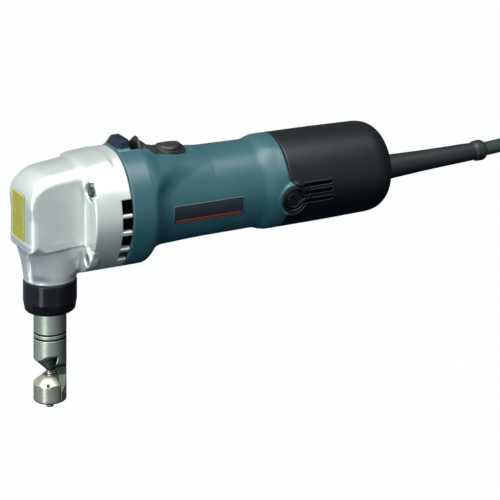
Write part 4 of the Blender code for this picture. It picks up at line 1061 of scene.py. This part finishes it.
arc = 29.05 * math.radians(24.0)
MAT_NAME = plate_mat("name_plate_print", ((0.010, 0.015, 0.021), (0.016, 0.022, 0.030)), (0.10, 0.14, 0.15),
                     (0.26, 0.030, 0.016), (72.5, 122.5, -10.65, 1.27, "X"), (74.0, 121.4, -9.5, -8.3), 0.35)
MAT_RATING = plate_mat("rating_plate_print", ((0.5, 0.51, 0.52), (0.6, 0.61, 0.62)), (0.12, 0.12, 0.13),
                       (0.15, 0.16, 0.18), (72.5, 122.5, -10.65, 1.27, "X"), (76.0, 119.0, -4.9, -4.5), 0.5)
np_ob = bent_plate("name_plate_printed", 72.5, 122.5, 0, arc, wrap(-1, 72.5, 122.5, 2.5, -21.5, 29.05), 0.9, 0.4)
dress(np_ob, MAT_NAME, "housing", ["name_plate"])
rp_ob = bent_plate("rating_plate_printed", 72.5, 122.5, 0, arc, wrap(1, 72.5, 122.5, 2.5, -21.5, 29.05), 0.9, 0.4)
dress(rp_ob, MAT_RATING, "housing", ["rating_plate"])

MAT_LABEL = plate_mat("front_label_print", ((0.38, 0.36, 0.03), (0.48, 0.45, 0.045)), (0.52, 0.50, 0.07), None,
                      (-8.6, 10.8, -13.0, 15.6, "Y"), None, 0.7,
                      hatch=((0.20, 0.18, 0.03), -0.9, 1.35, 0.8))
lb = bent_plate("front_label_printed", 0, 19.4, 0, 28.6, lambda u, v: P(-20.9, -8.6 + 19.4 * u, -13.0 + 28.6 * v), 1.4, 0.4)
dress(lb, MAT_LABEL, "housing", ["front_label"])

# ------------------------------------------------- finishes for the CAD nodes
BY_SLOT = {"cast_aluminium": MAT_ALU, "housing_plastic_teal": MAT_TEAL, "cover_plastic_black": MAT_BLACK,
           "rubber_black": MAT_RUBBER, "ground_steel": MAT_STEEL, "tool_steel": MAT_TUBE,
           "blackened_steel": MAT_SCREW, "brass": MAT_BRASS, "copper": MAT_COPPER, "lamination_iron": MAT_IRON,
           "carbon": MAT_CARBON, "felt": MAT_FELT, "nylon": MAT_NYLON, "capacitor_film": MAT_BLUE}
WOUND = {"armature_winding_front", "armature_winding_rear", "field_winding_front", "field_winding_rear"}


def cad_finish(name, ob):
    key = ob.data.materials[0].name.split(".")[0] if ob.data.materials else ""
    if name in WOUND:
        m = MAT_WIRE
    elif name.startswith(("felt",)):
        m = MAT_FELT
    elif "capacitor" in name:
        m = MAT_BLUE
    elif name == "cord_clamp":
        m = MAT_NYLON
    elif name == "fan":
        m = MAT_BLACK
    elif name.startswith("carbon_brush"):
        m = MAT_CARBON
    elif "screw" in name:
        m = MAT_SCREW
    elif name in ("bearing_plate",):
        m = MAT_SCREW
    elif name in ("ram_guide_bush",) or name.startswith("brush_holder"):
        m = MAT_BRASS
    elif name == "commutator":
        m = MAT_COPPER
    elif name in ("armature_core", "field_core"):
        m = MAT_IRON
    elif name in ("switch_unit", "baffle_plate"):
        m = MAT_BLACK
    else:
        m = BY_SLOT.get(key, MAT_STEEL)
    ob.data.materials.clear()
    ob.data.materials.append(m)
    if ob.hide_render:
        return
    bv = ob.modifiers.new("edge_break", "BEVEL")
    bv.width = 0.12 * MM
    bv.segments = 2
    bv.limit_method = "ANGLE"
    bv.angle_limit = math.radians(40)
    bv.harden_normals = False


for nm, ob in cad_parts.items():
    cad_finish(nm, ob)

# ------------------------------------------------------- floor, light, camera
def floor():
    bm = bmesh.new()
    bmesh.ops.create_grid(bm, x_segments=24, y_segments=24, size=30.0)
    me = bpy.data.meshes.new("floor")
    bm.to_mesh(me)
    bm.free()
    ob = bpy.data.objects.new("floor", me)
    HERE.objects.link(ob)
    ob.location = (0, 0, -0.36)
    m, nt, b = new_mat("floor_pale")
    v = coords(nt, (1, 1, 1))
    col = ramp(nt, noise_tex(nt, v, 2.0, 3.0), [(0.3, (0.93, 0.94, 0.945)), (0.7, (0.95, 0.955, 0.96))])
    nt.links.new(col, b.inputs["Base Color"])
    b.inputs["Roughness"].default_value = 0.9
    em = nt.nodes.new("ShaderNodeEmission")
    nt.links.new(ramp(nt, noise_tex(nt, v, 2.0, 3.0), [(0.3, (0.985, 0.99, 0.99)), (0.7, (0.995, 1.0, 1.0))]),
                 em.inputs["Color"])
    em.inputs["Strength"].default_value = 1.0
    mx = nt.nodes.new("ShaderNodeMixShader")
    mx.inputs["Fac"].default_value = 0.985
    nt.links.new(b.outputs["BSDF"], mx.inputs[1])
    nt.links.new(em.outputs["Emission"], mx.inputs[2])
    nt.links.new(mx.outputs["Shader"], nt.nodes["Material Output"].inputs["Surface"])
    me.materials.append(m)
    ob.visible_diffuse = False
    ob.visible_glossy = False
    return ob


floor()

world = bpy.data.worlds.new("studio")
bpy.context.scene.world = world
world.use_nodes = True
wt = world.node_tree
bg = wt.nodes["Background"]
tc = wt.nodes.new("ShaderNodeTexCoord")
sp = wt.nodes.new("ShaderNodeSeparateXYZ")
wt.links.new(tc.outputs["Generated"], sp.inputs["Vector"])
mr = wt.nodes.new("ShaderNodeMapRange")
mr.inputs["From Min"].default_value = -1.0
mr.inputs["From Max"].default_value = 1.0
wt.links.new(sp.outputs["Z"], mr.inputs["Value"])
cr = wt.nodes.new("ShaderNodeValToRGB")
els = cr.color_ramp.elements
els[0].position, els[0].color = 0.0, (0.015, 0.03, 0.07, 1)
els[1].position, els[1].color = 1.0, (0.95, 1.0, 1.0, 1)
for p_, c_ in ((0.20, (0.03, 0.05, 0.10)), (0.34, (0.30, 0.36, 0.42)), (0.45, (0.74, 0.80, 0.80)), (0.58, (0.74, 0.80, 0.78)),
               (0.8, (0.9, 0.95, 0.95))):
    e_ = els.new(p_)
    e_.color = (*c_, 1)
wt.links.new(mr.outputs["Result"], cr.inputs["Fac"])
# brighter on the left of the camera, dark to the right
dot = wt.nodes.new("ShaderNodeVectorMath")
dot.operation = "DOT_PRODUCT"
wt.links.new(tc.outputs["Generated"], dot.inputs[0])
dot.inputs[1].default_value = (-0.94, -0.34, 0.0)
side = wt.nodes.new("ShaderNodeMapRange")
side.inputs["From Min"].default_value = -0.75
side.inputs["From Max"].default_value = 0.75
side.inputs["To Min"].default_value = 0.10
side.inputs["To Max"].default_value = 1.35
wt.links.new(dot.outputs["Value"], side.inputs["Value"])
tint = wt.nodes.new("ShaderNodeVectorMath")
tint.operation = "SCALE"
wt.links.new(cr.outputs["Color"], tint.inputs[0])
wt.links.new(side.outputs["Result"], tint.inputs["Scale"])
lp = wt.nodes.new("ShaderNodeLightPath")
mxw = wt.nodes.new("ShaderNodeMix")
mxw.data_type = "RGBA"
wt.links.new(lp.outputs["Is Camera Ray"], mxw.inputs["Factor"])
wt.links.new(tint.outputs["Vector"], mxw.inputs[6])
mxw.inputs[7].default_value = (0.99, 0.995, 0.995, 1)
wt.links.new(mxw.outputs[2], bg.inputs["Color"])
bg.inputs["Strength"].default_value = 1.0


def softbox(name, loc, target, size, power, colour=(1, 1, 1)):
    li = bpy.data.lights.new(name, "AREA")
    li.shape = "RECTANGLE"
    li.size, li.size_y = size
    li.energy = power
    li.color = colour
    ob = bpy.data.objects.new(name, li)
    HERE.objects.link(ob)
    ob.location = loc
    ob.rotation_euler = (Vector(target) - Vector(loc)).to_track_quat("-Z", "Y").to_euler()
    return ob


softbox("key_overhead", (0.05, -0.35, 1.15), (0.12, 0, -0.04), (1.3, 0.8), 19.0)
softbox("front_fill", (-1.2, -0.9, 0.45), (0.05, 0, -0.05), (0.8, 0.9), 7.5)
softbox("strip_left", (-1.05, -0.62, -0.10), (0.0, 0.0, -0.08), (0.32, 1.3), 4.0)

cam = bpy.data.cameras.new("camera")
cam.sensor_width = 36.0
cam.lens = 132.21
cam.shift_x = 0.0
cam.shift_y = -1.21327
cam.clip_start = 0.05
cam.clip_end = 200.0
cam_ob = bpy.data.objects.new("camera", cam)
HERE.objects.link(cam_ob)
cam_ob.location = (-0.42196, -1.08315, 0.32764)
cam_ob.rotation_euler = (math.radians(90.0), 0.0, math.radians(-27.5))
bpy.context.scene.camera = cam_ob
# the vertical lens shift belongs to this viewpoint; it falls to nothing when the camera stands anywhere else
fc = cam.driver_add("shift_y")
fc.driver.type = "SUM"
var = fc.driver.variables.new()
var.type = "LOC_DIFF"
for tg, ob_ in zip(var.targets, (cam_ob, gear)):
    tg.id = ob_
    tg.transform_space = "WORLD_SPACE"
for mod in list(fc.modifiers):
    fc.modifiers.remove(mod)
fc.keyframe_points.add(2)        # 1.21 m away here, 1.49 m or more from any round-the-object viewpoint
for kp, co in zip(fc.keyframe_points, ((1.28, -1.21327), (1.38, 0.0))):
    kp.co = co
    kp.interpolation = "LINEAR"
fc.extrapolation = "CONSTANT"
bpy.context.scene.view_settings.view_transform = "Standard"
